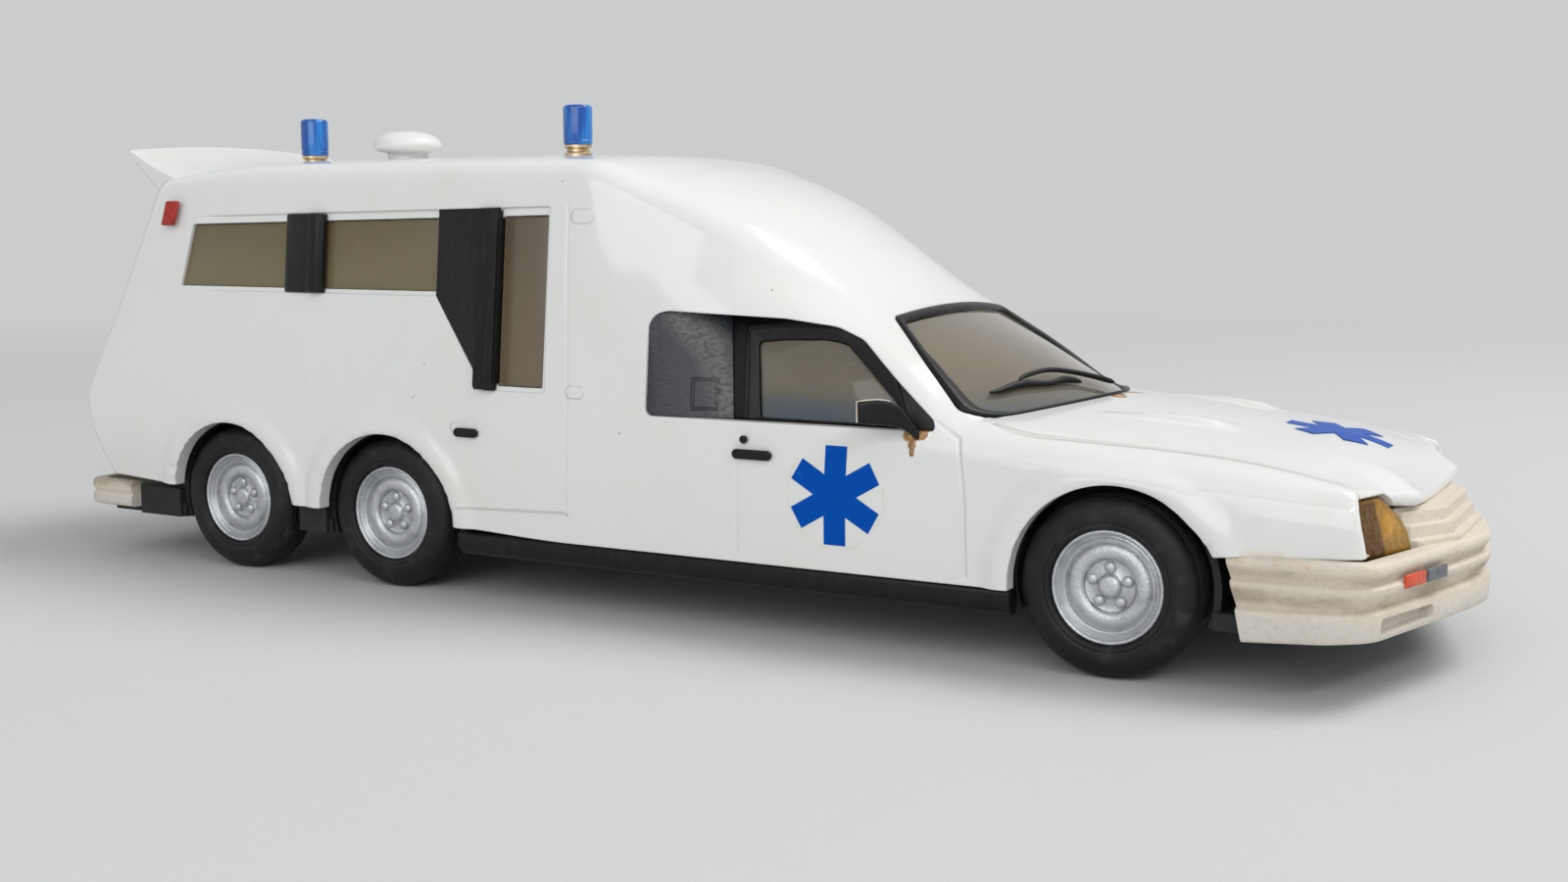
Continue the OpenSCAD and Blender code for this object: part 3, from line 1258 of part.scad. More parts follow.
body_shell();
spoiler();
chassis();
sill(false);  // sill_right
sill(true);  // sill_left
front_bumper();
rear_bumper();
grille();
headlamp(false);  // headlamp_right
headlamp(true);  // headlamp_left
indicators();
bumper_lamps();
windscreen();
windscreen_gasket();
door_pane(false);  // door_pane_right
door_pane(true);  // door_pane_left
door_frame(false);  // door_frame_right
door_frame(true);  // door_frame_left
quarter_panel(false);  // quarter_panel_right
quarter_panel(true);  // quarter_panel_left
side_pane(false);  // side_pane_right
side_pane(true);  // side_pane_left
tall_panes();
mid_posts();
door_posts();
tailgate_pane();
tailgate_gasket();
tail_lamps();
roof_markers();
beacon_base(front_beacon_x);  // front_beacon_base
beacon_lens(front_beacon_x);  // front_beacon_lens
beacon_base(rear_beacon_x);  // rear_beacon_base
beacon_lens(rear_beacon_x);  // rear_beacon_lens
roof_vent();
wiper();
mirror_on(false);  // mirror_right
mirror_on(true);  // mirror_left
door_handles();
screw_posts();
base_screws();
front_seats();
dashboard();
steering_wheel();
bulkhead();
axle(front_axle_x, front_wheel_y);  // front_axle
rim(front_axle_x, front_wheel_y, false);  // front_rim_right
rim(front_axle_x, front_wheel_y, true);  // front_rim_left
tyre(front_axle_x, front_wheel_y, false);  // front_tyre_right
tyre(front_axle_x, front_wheel_y, true);  // front_tyre_left
axle(middle_axle_x, rear_wheel_y);  // middle_axle
rim(middle_axle_x, rear_wheel_y, false);  // middle_rim_right
rim(middle_axle_x, rear_wheel_y, true);  // middle_rim_left
tyre(middle_axle_x, rear_wheel_y, false);  // middle_tyre_right
tyre(middle_axle_x, rear_wheel_y, true);  // middle_tyre_left
axle(rear_axle_x, rear_wheel_y);  // rear_axle
rim(rear_axle_x, rear_wheel_y, false);  // rear_rim_right
rim(rear_axle_x, rear_wheel_y, true);  // rear_rim_left
tyre(rear_axle_x, rear_wheel_y, false);  // rear_tyre_right
tyre(rear_axle_x, rear_wheel_y, true);  // rear_tyre_left
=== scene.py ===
"""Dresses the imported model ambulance: its painted body, glazing, lamps, wheels and the studio round it."""

import json
import math

import bpy
import numpy as np
from mathutils import Matrix, Vector


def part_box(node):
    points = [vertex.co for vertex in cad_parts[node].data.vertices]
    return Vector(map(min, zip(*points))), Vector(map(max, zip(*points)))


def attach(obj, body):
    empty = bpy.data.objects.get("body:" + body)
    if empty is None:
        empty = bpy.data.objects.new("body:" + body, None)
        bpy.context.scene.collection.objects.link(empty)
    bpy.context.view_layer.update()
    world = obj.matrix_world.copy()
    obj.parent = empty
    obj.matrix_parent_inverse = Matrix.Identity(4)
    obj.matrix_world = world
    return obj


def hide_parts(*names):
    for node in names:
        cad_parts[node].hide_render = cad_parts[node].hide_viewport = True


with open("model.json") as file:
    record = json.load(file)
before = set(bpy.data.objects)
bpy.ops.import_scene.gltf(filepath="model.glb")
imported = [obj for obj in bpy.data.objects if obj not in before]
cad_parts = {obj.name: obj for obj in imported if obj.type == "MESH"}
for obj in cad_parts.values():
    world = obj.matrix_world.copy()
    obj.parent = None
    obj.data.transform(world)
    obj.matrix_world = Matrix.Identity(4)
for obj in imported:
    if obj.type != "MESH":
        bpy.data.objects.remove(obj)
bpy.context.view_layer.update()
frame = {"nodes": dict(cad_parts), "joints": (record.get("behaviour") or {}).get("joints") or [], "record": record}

bl_info = {
    "name": "Model Ambulance",
    "version": (1, 0, 0),
    "blender": (4, 5, 0),
    "location": "View3D > Sidebar > Ambulance",
    "description": "Models and paints a six-wheeled display-model ambulance on its frame",
    "category": "Add Mesh",
}

MM = 0.001
RECORD = frame["record"]
SLOT_OF = {row["node"]: row["material_slot"] for row in RECORD["subparts"]}
BODY_OF = {node: body for body, nodes in RECORD["behaviour"]["bodies"].items() for node in nodes}
AXLES = {joint["child"]: Vector(joint["pos_m"]) for joint in frame["joints"]}
FRONT_AXLE = AXLES["front_wheels"]
RIGHT, LEFT = -1, 1

# Lines of the body from nose to tail, one row for each station. A row holds the sweep behind the centre
# line and the place off it as shares of half the width, then the height as a share of the roof's. The
# shoulder's last column is the length over which it is rounded. The crown has its height and where its
# tangents meet on the way from the middle to the shoulder.
SILL_SHARES = (
    (.10, .92, .265), (.165, .98, .257), (.29, .99, .155), (.44, .99, .155), (.30, .99, .155),
    (.15, .99, .155), (.10, .99, .155), (.05, .99, .155), (.02, .99, .155), (0, .99, .155),
    (0, .99, .165), (0, .985, .185), (.35, .95, .21),
)
BULGE_SHARES = (
    (.115, .937, .31), (.165, .995, .31), (.29, 1, .31), (.44, 1, .31), (.30, 1, .31), (.15, 1, .31),
    (.10, 1, .31), (.05, 1, .31), (.02, 1, .31), (0, 1, .31), (0, 1, .31), (0, 1, .31), (.465, .972, .31),
)
BELT_SHARES = (
    (.13, .922, .348), (.165, .98, .3675), (.29, .988, .387), (.44, .98, .41), (.30, .978, .42),
    (.15, .975, .428), (.10, .975, .43), (.05, .98, .43), (.02, .985, .427), (0, .985, .425), (0, .985, .418),
    (0, .985, .413), (.52, .957, .408),
)
EAVE_SHARES = (
    (.14, .893, .375), (.155, .922, .401), (.25, .927, .4225), (.37, .922, .444), (.205, .885, .535),
    (.06, .82, .613), (.05, .865, .65), (.03, .922, .656), (.015, .947, .656), (0, .954, .656),
    (0, .952, .656), (0, .947, .652), (.277, .922, .644),
)
SHOULDER_SHARES = (
    (.145, .845, .384, .04), (.145, .85, .415, .05), (.22, .85, .437, .05), (.30, .85, .463, .02),
    (.155, .745, .5575, .025), (.025, .585, .652, .03), (.015, .645, .73, .06), (0, .738, .8425, .08),
    (0, .815, .9165, .10), (0, .885, .975, .12), (0, .89, .978, .12), (0, .885, .974, .12),
    (0, .87, .9475, .09),
)
CROWN_SHARES = (
    (.352, .5), (.427, .5), (.470, .45), (.4915, .3), (.584, .4), (.67, .5), (.80, .5), (.912, .5),
    (.969, .5), (.995, .5), (1, .5), (.999, .5), (.973, .5),
)
# Lengths over which the lower lines are rounded, as shares of half the width
BULGE_ROUND_SHARE, BELT_ROUND_SHARE, EAVE_ROUND_SHARE = .1, .02, .15
CORNER_LIMIT_SHARE = .45
# How far the inside of the casting lies inwards and down, as shares of its wall
INSET_SHARES = {"sill": (1, 4), "bulge": (1, 0), "belt": (1, .2), "eave": (1, .3), "shoulder": (1, 1)}
# Stations between nose, windscreen foot, windscreen head, box and the end of the roof
BONNET_STATION_SHARES = (.30, .65)
SCREEN_STATION_SHARE = .5
FAIRING_STATION_SHARES = (.24, .52, .77)
BOX_STATION_SHARES = (.22, .75)
CREASES = (3, 5)
BOX_STATION = 10
# Points along a half section: sill, bulge, side, belt, window side, eave, box side, shoulder and crown
FINE_STEPS = (18, 6, 5, 6, 12, 6, 16, 8, 42)
COARSE_STEPS = (1, 2, 2, 3, 3, 3, 3, 4, 6)


class AmbulanceSizes(bpy.types.PropertyGroup):
    """Sizes of the body and its trim."""

    def length(name, description, default):
        return bpy.props.FloatProperty(name=name, description=description, default=default, unit="LENGTH",
                                       precision=5)

    body_width: length("Body width", "Width of the body across its widest line", 41.2 * MM)
    roof_height: length("Roof height", "Height of the roof crown above the ground", 41.9 * MM)
    shell_wall: length("Shell wall", "Wall of the body casting", 1.2 * MM)
    nose_back: length("Nose", "Front axle forward to the lip of the nose", 21.2 * MM)
    cowl_back: length("Windscreen foot", "Front axle back to the foot of the windscreen", 6 * MM)
    head_back: length("Windscreen head", "Front axle back to the head of the windscreen", 21.6 * MM)
    box_back: length("Box", "Front axle back to the front of the box", 50 * MM)
    tail_back: length("Tail", "Front axle back to the end of the tail", 114.3 * MM)
    lip_thickness: length("Nose lip", "Thickness of the lip over the grille", 1.3 * MM)
    tail_round: length("Tail edge", "Radius along the edge of the tail", 0.8 * MM)
    arch_flare: length("Arch flare", "Height of the flare round a wheel arch", 0.48 * MM)
    gasket_width: length("Gasket", "Width of the black gasket round the windscreen", 0.92 * MM)
    window_top: length("Window head", "Ground to the top of the side windows at their front end", 36.8 * MM)
    strip_height: length("Long window height", "Height of the long side window", 8.3 * MM)
    strip_length: length("Long window length", "Length of the long side window", 34.1 * MM)
    tall_height: length("Tall window height", "Height of the tall window of the side door", 16.8 * MM)
    tall_width: length("Tall window width", "Width of the tall window", 5.5 * MM)
    post_width: length("Door post", "Width of the black post behind the tall window", 7.3 * MM)
    door_length: length("Door opening length", "Length of the front door's opening", 27.3 * MM)
    door_height: length("Door opening height", "Height of the front door's opening", 8.9 * MM)
    badge_size: length("Badge", "Size of the six-armed badge across its arms", 8.3 * MM)


class AmbulanceColours(bpy.types.PropertyGroup):
    """Colours of the paints, panes and metals."""

    def colour(name, description, default):
        return bpy.props.FloatVectorProperty(name=name, description=description, default=default,
                                             subtype="COLOR", size=3, min=0, max=1)

    paint: colour("Body paint", "Gloss white of the body", (.785, .79, .772))
    yellowed: colour("Yellowed paint", "Where the paint has aged at edges and seams", (.72, .63, .46))
    glue: colour("Old glue", "Amber glue at the mirror and the cowl", (.28, .12, .012))
    trim: colour("Black trim", "Satin black of frames, posts and gaskets", (.008, .0078, .008))
    bumper: colour("Bumper", "Aged off-white of bumpers and grille", (.70, .63, .53))
    # Partly dirt and partly painted shade under the ledges of the bumper's channels
    bumper_grime_and_shade: colour("Bumper grime", "Brown grime in the bumper's channels", (.34, .27, .19))
    headlamp: colour("Headlamp", "Amber of the headlamps", (.30, .155, .018))
    orange: colour("Indicator", "Orange of the indicators", (.68, .08, .02))
    grey: colour("Bumper lamp", "Grey of the lamps beside the indicators", (.14, .15, .165))
    pane: colour("Clear pane", "Brown tint of windscreen and door panes", (.44, .385, .29))
    frosted: colour("Frosted pane", "Olive brown of the box's panes", (.185, .152, .075))
    red: colour("Red lens", "Red of tail lamps and roof markers", (.42, .02, .012))
    blue: colour("Beacon", "Blue of the beacons", (.004, .095, .46))
    badge: colour("Badge", "Blue of the six-armed badges", (.001, .078, .43))
    gold: colour("Beacon base", "Dull gold of the beacon bases", (.74, .60, .42))
    silver: colour("Rim", "Silver of the rims", (.56, .57, .59))
    tyre: colour("Tyre", "Black of the tyres", (.008, .008, .009))
    floor: colour("Floor", "Pale studio floor", (.62, .62, .61))
    backdrop: colour("Backdrop", "Pale grey behind the floor", (.60, .605, .61))


def sizes():
    return bpy.context.scene.ambulance_sizes


def colours():
    return bpy.context.scene.ambulance_colours


# Lines of the body


def blend(a, b, t):
    return a + (b - a) * t


def smooth_step(low, high, value):
    t = np.clip((value - low) / (high - low), 0, 1)
    return t * t * (3 - 2 * t)


def curve(a, b, c, n):
    """Points of a curve from a to c that bends towards b."""
    t = np.linspace(0, 1, n + 1)[:, None]
    return (1 - t) ** 2 * a + 2 * t * (1 - t) * b + t ** 2 * c


def toward(a, b, r):
    return a + (b - a) * min(CORNER_LIMIT_SHARE, r / np.linalg.norm(b - a))


def corner(a, b, c, r, n):
    return curve(toward(b, a, r), b, toward(b, c, r), n)


def between(a, b, n):
    return [blend(a, b, i / n) for i in range(1, n)]


class BodyLines:
    """The lines that the body is drawn through, in metres and in the frame of the car."""

    def __init__(self):
        s = sizes()
        self.half = s.body_width / 2
        self.roof = s.roof_height
        self.nose = FRONT_AXLE.x + s.nose_back
        self.cowl = FRONT_AXLE.x - s.cowl_back
        self.head = FRONT_AXLE.x - s.head_back
        self.box = FRONT_AXLE.x - s.box_back
        self.tail = FRONT_AXLE.x - s.tail_back
        self.roof_end = self.tail + self.half * BELT_SHARES[-1][0]
        self.stations = np.array(
            [self.nose, *(blend(self.nose, self.cowl, t) for t in BONNET_STATION_SHARES), self.cowl,
             blend(self.cowl, self.head, SCREEN_STATION_SHARE), self.head,
             *(blend(self.head, self.box, t) for t in FAIRING_STATION_SHARES), self.box,
             *(blend(self.box, self.roof_end, t) for t in BOX_STATION_SHARES), self.roof_end])

    def along(self, table, k, x, creased):
        """Smooth value of one column of shares at a place along the car."""
        s = self.stations
        v = [row[k] for row in table]
        last = len(s) - 1
        secant = [(v[i + 1] - v[i]) / (s[i + 1] - s[i]) for i in range(last)]

        def slope(i, side):
            if i in (0, last) or (creased and i in CREASES):
                return secant[side]
            a, b = secant[i - 1], secant[i]
            return 0 if a * b <= 0 else 2 * a * b / (a + b)

        i = int(np.clip(np.searchsorted(-s, -x, side="right") - 1, 0, last - 1))
        h = s[i + 1] - s[i]
        t = (x - s[i]) / h
        m, n = slope(i, i), slope(i + 1, i)
        return (v[i] * (1 + 2 * t) * (1 - t) ** 2 + v[i + 1] * (3 - 2 * t) * t * t
                + h * t * (1 - t) * (m * (1 - t) - n * t))

    def point(self, table, x, creased=False, wall=0, inset=(0, 0)):
        return np.array([x - self.half * self.along(table, 0, x, creased),
                         self.half * self.along(table, 1, x, creased) - wall * inset[0],
                         self.roof * self.along(table, 2, x, creased) - wall * inset[1]])

    def crown_height(self, x):
        return self.roof * self.along(CROWN_SHARES, 0, x, True)

    def crown(self, x, wall=0):
        """Shoulder, meeting point of the tangents, middle of the crown and rounding of the shoulder."""
        shoulder = self.point(SHOULDER_SHARES, x, True, wall, INSET_SHARES["shoulder"])
        top = np.array([x, 0, self.crown_height(x) - wall])
        meeting = np.array([x, shoulder[1] * self.along(CROWN_SHARES, 1, x, True), top[2]])
        return shoulder, meeting, top, self.half * self.along(SHOULDER_SHARES, 3, x, True)

    def section(self, x, wall=0, steps=FINE_STEPS):
        """Half of a section, from the sill up over the shoulder to the middle of the crown."""
        sill = self.point(SILL_SHARES, x, False, wall, INSET_SHARES["sill"])
        bulge = self.point(BULGE_SHARES, x, False, wall, INSET_SHARES["bulge"])
        belt = self.point(BELT_SHARES, x, False, wall, INSET_SHARES["belt"])
        eave = self.point(EAVE_SHARES, x, True, wall, INSET_SHARES["eave"])
        shoulder, meeting, top, rounding = self.crown(x, wall)
        low = corner(sill, bulge, belt, self.half * BULGE_ROUND_SHARE, steps[1])
        middle = corner(bulge, belt, eave, self.half * BELT_ROUND_SHARE, steps[3])
        high = corner(belt, eave, shoulder, self.half * EAVE_ROUND_SHARE, steps[5])
        edge = corner(eave, shoulder, meeting, rounding, steps[7])
        return np.array([sill, *between(sill, low[0], steps[0]), *low, *between(low[-1], middle[0], steps[2]),
                         *middle, *between(middle[-1], high[0], steps[4]), *high,
                         *between(high[-1], edge[0], steps[6]), *edge,
                         *curve(edge[-1], meeting, top, steps[8])[1:]])

    def crown_at(self, x, a):
        """Point of the crown at a place along the car and a share of the way out to the shoulder."""
        shoulder, meeting, top, rounding = self.crown(x)
        start = toward(shoulder, meeting, rounding)
        t = 1 - abs(a)
        p = (1 - t) ** 2 * start + 2 * t * (1 - t) * meeting + t * t * top
        return p * (1, -1 if a < 0 else 1, 1)


def whole_ring(half):
    """Right side up and left side down."""
    return np.vstack([half * (1, -1, 1), half[-2::-1]])


# Modelling helpers


def deselect():
    if bpy.context.object and bpy.context.object.mode != "OBJECT":
        bpy.ops.object.mode_set(mode="OBJECT")
    bpy.ops.object.select_all(action="DESELECT")


def activate(piece):
    deselect()
    piece.select_set(True)
    bpy.context.view_layer.objects.active = piece


def mesh_piece(name, points, faces):
    """A piece from points and faces, with its normals made to point outwards."""
    mesh = bpy.data.meshes.new(name)
    mesh.from_pydata([tuple(p) for p in points], [], [tuple(f) for f in faces])
    piece = bpy.data.objects.new(name, mesh)
    bpy.context.scene.collection.objects.link(piece)
    tidy_mesh(piece)
    return piece


MERGE_DISTANCE = .002 * MM


def tidy_mesh(piece, flat=None):
    """Merges doubles, joins flat faces where asked to and turns the normals outwards."""
    activate(piece)
    bpy.ops.object.mode_set(mode="EDIT")
    bpy.ops.mesh.select_all(action="SELECT")
    bpy.ops.mesh.remove_doubles(threshold=MERGE_DISTANCE)
    if flat:
        bpy.ops.mesh.dissolve_limited(angle_limit=math.radians(flat))
    bpy.ops.mesh.normals_make_consistent(inside=False)
    bpy.ops.object.mode_set(mode="OBJECT")


def lofted(name, rings, caps="fan"):
    """A closed skin over rings of equally many points. The ends are fans, or zipped from side to side."""
    n = len(rings[0])
    last = (len(rings) - 1) * n
    faces = [(i * n + k, i * n + (k + 1) % n, (i + 1) * n + (k + 1) % n, (i + 1) * n + k)
             for i in range(len(rings) - 1) for k in range(n)]
    if caps == "fan":
        faces += [tuple(range(n)), tuple(range(last + n - 1, last - 1, -1))]
    else:
        for start in (0, last):
            faces += [(start + k, start + k + 1, start + n - 2 - k, start + n - 1 - k)
                      for k in range((n - 1) // 2 - 1)]
            m = (n - 1) // 2
            faces.append((start + m - 1, start + m, start + m + 1))
    return mesh_piece(name, np.vstack(rings), faces)


def extruded(name, outline, low, high, place):
    """An outline raised between two depths of a local frame."""
    deselect()
    bpy.ops.mesh.primitive_circle_add(vertices=len(outline), fill_type="NGON")
    piece = bpy.context.object
    piece.name = name
    for vertex, (u, v) in zip(piece.data.vertices, outline):
        vertex.co = (u, v, low)
    bpy.ops.object.mode_set(mode="EDIT")
    bpy.ops.mesh.select_all(action="SELECT")
    bpy.ops.mesh.extrude_region_move(TRANSFORM_OT_translate={"value": (0, 0, high - low)})
    bpy.ops.object.mode_set(mode="OBJECT")
    piece.data.transform(place)
    tidy_mesh(piece)
    return piece


def turned(name, profile, place, steps=96):
    """A profile of radius and height pairs spun round the local z axis."""
    mesh = bpy.data.meshes.new(name)
    mesh.from_pydata([(r, 0, h) for r, h in profile], [(i, i + 1) for i in range(len(profile) - 1)], [])
    piece = bpy.data.objects.new(name, mesh)
    bpy.context.scene.collection.objects.link(piece)
    activate(piece)
    bpy.ops.object.mode_set(mode="EDIT")
    bpy.ops.mesh.select_all(action="SELECT")
    bpy.ops.mesh.spin(steps=steps, angle=math.tau, center=(0, 0, 0), axis=(0, 0, 1))
    bpy.ops.object.mode_set(mode="OBJECT")
    piece.data.transform(place)
    tidy_mesh(piece)
    return piece


def copied(node):
    """A piece of its own with the shape of a CAD node."""
    deselect()
    source = frame["nodes"][node]
    source.select_set(True)
    bpy.context.view_layer.objects.active = source
    bpy.ops.object.duplicate()
    piece = bpy.context.object
    piece.name = f"{node}_piece"
    for key in [k for k in piece.keys() if k.startswith("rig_")]:
        del piece[key]
    tidy_mesh(piece, flat=2)
    return piece


def applied(piece, kind, **settings):
    """Adds a modifier to a piece and applies it."""
    activate(piece)
    modifier = piece.modifiers.new(kind.title(), kind)
    for key, value in settings.items():
        setattr(modifier, key, value)
    bpy.ops.object.modifier_apply(modifier=modifier.name)
    return piece


def softened(piece, width, segments=3, angle=30):
    """Rounds the edges of a piece and keeps its flat faces flat."""
    return applied(piece, "BEVEL", width=width, segments=segments, limit_method="ANGLE",
                   angle_limit=math.radians(angle), miter_outer="MITER_ARC")


def cut(piece, cutter, operation="DIFFERENCE"):
    """Cuts a piece with another one, which is used up."""
    applied(piece, "BOOLEAN", object=cutter, operation=operation, solver="MANIFOLD")
    bpy.data.objects.remove(cutter)
    return piece


def joined(name, pieces):
    activate(pieces[0])
    for piece in pieces[1:]:
        piece.select_set(True)
    if len(pieces) > 1:
        bpy.ops.object.join()
    pieces[0].name = name
    return pieces[0]


def mirrored(piece, name):
    """A copy of a piece on the other side of the car."""
    activate(piece)
    bpy.ops.object.duplicate()
    other = bpy.context.object
    other.name = name
    other.data.transform(Matrix.Scale(-1, 4, (0, 1, 0)))
    other.data.flip_normals()
    return other


def dress(piece, *nodes, slot=None, body=None, finish=None, angle=35):
    """Shades a piece, gives it its finish and lets it stand for CAD nodes."""
    slot = slot or SLOT_OF[nodes[0]]
    piece.data.materials.clear()
    piece.data.materials.append(finish or finish_for(slot))
    activate(piece)
    bpy.ops.object.shade_smooth_by_angle(angle=math.radians(angle))
    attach(piece, body or BODY_OF[nodes[0]])
    if nodes:
        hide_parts(*nodes)
    return piece


# How copied pieces are rounded: width in millimetres, segments, the least angle of the edges and the angle
# up to which the shading is smooth
EDGE_ROUNDS = {
    "door_frame": (.14, 2, 30, 35), "door_pane": (.06, 2, 30, 35), "side_pane": (.06, 2, 30, 35),
    "tall_panes": (.06, 2, 30, 35), "mid_posts": (.35, 4, 30, 60), "door_posts": (.12, 3, 30, 35),
    "tailgate_pane": (.05, 2, 30, 35), "tailgate_gasket": (.14, 3, 50, 35), "grille": (.42, 5, 40, 60),
    "indicators": (.12, 3, 30, 35), "bumper_lamps": (.12, 3, 30, 35), "tail_lamps": (.2, 3, 30, 35),
    "roof_markers": (.15, 3, 30, 35), "door_handles": (.12, 3, 50, 60), "sill": (.45, 4, 30, 60),
    "base_screws": (.15, 3, 30, 35), "front_seats": (.8, 4, 30, 60), "dashboard": (.5, 3, 30, 35),
    "steering_wheel": (.08, 2, 50, 60), "bulkhead": (.1, 2, 50, 35),
}


def rounded(node, piece=None):
    """Lets a rounded copy of a CAD node, or a piece made from one, stand for it."""
    kind = node.removesuffix("_right").removesuffix("_left")
    width, segments, least, smooth = EDGE_ROUNDS[kind]
    dress(softened(piece or copied(node), width * MM, segments, least), node, angle=smooth)


def face_frame(y, z, lean, side=RIGHT):
    """Frame on a leaning side: local x forward, local y up the face and local z out of it."""
    turn = Matrix.Rotation(math.radians(90) - lean, 4, "X")
    place = Matrix.Translation((0, -y, z)) @ turn
    return place if side == RIGHT else Matrix.Scale(-1, 4, (0, 1, 0)) @ place


def tube(name, points, radii, around=12):
    """A round rod through points, with a radius at each of them."""
    points = [Vector(p) for p in points]
    rings = []
    for i, (p, r) in enumerate(zip(points, radii)):
        way = (points[min(i + 1, len(points) - 1)] - points[max(i - 1, 0)]).normalized()
        u = way.orthogonal().normalized()
        if rings:
            u = (last_u - way * last_u.dot(way)).normalized()
        v = way.cross(u)
        last_u = u
        rings.append([p + (u * math.cos(g) + v * math.sin(g)) * r
                      for g in np.linspace(0, math.tau, around, endpoint=False)])
    return lofted(name, [np.array(ring) for ring in rings])


# Finishes


class Wire:
    """A socket of a finish that takes part in sums."""

    def __init__(self, finish, socket):
        self.finish, self.socket = finish, socket

    def math(self, operation, a, b=0.0, c=0.0):
        return self.finish.node("ShaderNodeMath", {"operation": operation}, {0: a, 1: b, 2: c})

    def __add__(self, other):
        return self.math("ADD", self, other)

    __radd__ = __add__

    def __sub__(self, other):
        return self.math("SUBTRACT", self, other)

    def __rsub__(self, other):
        return self.math("SUBTRACT", other, self)

    def __mul__(self, other):
        return self.math("MULTIPLY", self, other)

    __rmul__ = __mul__

    def __truediv__(self, other):
        return self.math("DIVIDE", self, other)

    def __abs__(self):
        return self.math("ABSOLUTE", self)

    def above(self, low, high):
        """0 up to low and 1 from high, or the other way round where low is the larger."""
        return self.finish.node("ShaderNodeMapRange", {"interpolation_type": "SMOOTHSTEP"},
                                {"Value": self, "From Min": low, "From Max": high})

    def near(self, place, reach, core=0.0):
        """1 within the core's distance from a place and 0 beyond the reach."""
        return abs(self - place).above(reach, core)

    def most(self, other):
        return self.math("MAXIMUM", self, other)

    def distance(self, other):
        return self.finish.node("ShaderNodeVectorMath", {"operation": "DISTANCE"}, {0: self, 1: other},
                                output="Value")


class NodeTree:
    """A tree whose nodes are written as sums."""

    def __init__(self, tree):
        self.tree = tree

    def feed(self, socket, value):
        if isinstance(value, Wire):
            self.tree.links.new(value.socket, socket)
        else:
            socket.default_value = value

    def node(self, kind, settings=None, inputs=None, output=0):
        """Adds any node: its settings first, then the values or links of its sockets."""
        node = self.tree.nodes.new(kind)
        for key, value in (settings or {}).items():
            setattr(node, key, value)
        for key, value in (inputs or {}).items():
            self.feed(node.inputs[key], value)
        return Wire(self, node.outputs[output])

    def background_rays(self):
        """1 for rays that show the background: from the camera, mirrored or through a pane."""
        camera, glossy, through = (self.node("ShaderNodeLightPath", output=f"Is {kind} Ray")
                                   for kind in ("Camera", "Glossy", "Transmission"))
        return camera.most(glossy).most(through)


# Places of the share and the two colours among a mix node's inputs, and of the mixed colour among its outputs
MIX_INPUTS, MIX_OUTPUT = (0, 6, 7), 2


class Finish(NodeTree):
    """A material with one shader."""

    def __init__(self, name, colour, roughness, **fixed):
        self.material = bpy.data.materials.new(name)
        self.material.use_nodes = True
        super().__init__(self.material.node_tree)
        self.shader = self.tree.nodes["Principled BSDF"]
        self.colour = (*colour, 1)
        self.set("Base Color", self.colour)
        self.set("Roughness", roughness)
        for key, value in fixed.items():
            self.set(key.replace("_", " ").title().replace("Ior", "IOR"), value)
        self.at = self.node("ShaderNodeTexCoord", output="Object")

    def set(self, name, value):
        self.feed(self.shader.inputs[name], value)

    def axes(self):
        split = self.tree.nodes.new("ShaderNodeSeparateXYZ")
        self.feed(split.inputs[0], self.at)
        return [Wire(self, out) for out in split.outputs]

    def vector(self, x, y, z):
        return self.node("ShaderNodeCombineXYZ", inputs={0: x, 1: y, 2: z})

    def noise(self, size, detail=2.0, stretch=(1, 1, 1)):
        """Cloudy value from 0 to 1 whose patches are about this large."""
        at = self.node("ShaderNodeMapping", {"vector_type": "POINT"}, {"Vector": self.at, "Scale": stretch})
        return self.node("ShaderNodeTexNoise", inputs={"Vector": at, "Scale": 1 / size, "Detail": detail})

    def specks(self, size, radius):
        """Round specks, at most one in each cell of this size."""
        near = self.node("ShaderNodeTexVoronoi", inputs={"Vector": self.at, "Scale": 1 / size},
                         output="Distance")
        return near.above(radius, radius / 2)

    def mix(self, share, a, b):
        """Colour a where share is 0 and b where it is 1."""
        node = self.tree.nodes.new("ShaderNodeMix")
        node.data_type = "RGBA"
        for k, value in zip(MIX_INPUTS, (share, a, b)):
            self.feed(node.inputs[k], value if isinstance(value, (Wire, float)) else (*value[:3], 1))
        return Wire(self, node.outputs[MIX_OUTPUT])

    def bump(self, height, depth, soft_edge=None):
        """Relief from a height of 0 to 1, this deep, over edges softened by a radius."""
        inputs = {"Height": height, "Distance": depth, "Strength": 1.0}
        if soft_edge:
            inputs["Normal"] = self.node("ShaderNodeBevel", {"samples": 4}, {"Radius": soft_edge})
        self.set("Normal", self.node("ShaderNodeBump", inputs=inputs))

    def near_line(self, at, points, width):
        """1 on a line through points and 0 beyond its width."""
        mask = None
        for a, b in zip(points, points[1:]):
            a, b = Vector(a), Vector(b)
            way = b - a
            off = self.node("ShaderNodeVectorMath", {"operation": "SUBTRACT"}, {0: at, 1: a})
            dot = self.node("ShaderNodeVectorMath", {"operation": "DOT_PRODUCT"},
                            {0: off, 1: way / way.length_squared}, output="Value")
            share = self.node("ShaderNodeClamp", inputs={"Value": dot})
            foot = self.node("ShaderNodeVectorMath", {"operation": "SCALE"}, {0: way, "Scale": share})
            line = off.distance(foot).above(width, 0)
            mask = mask.most(line) if mask else line
        return mask


FINISHES = {}


def finish_for(slot):
    """The finish of one of the record's material slots, made once."""
    if slot not in FINISHES:
        FINISHES[slot] = MAKERS[slot]().material
    return FINISHES[slot]


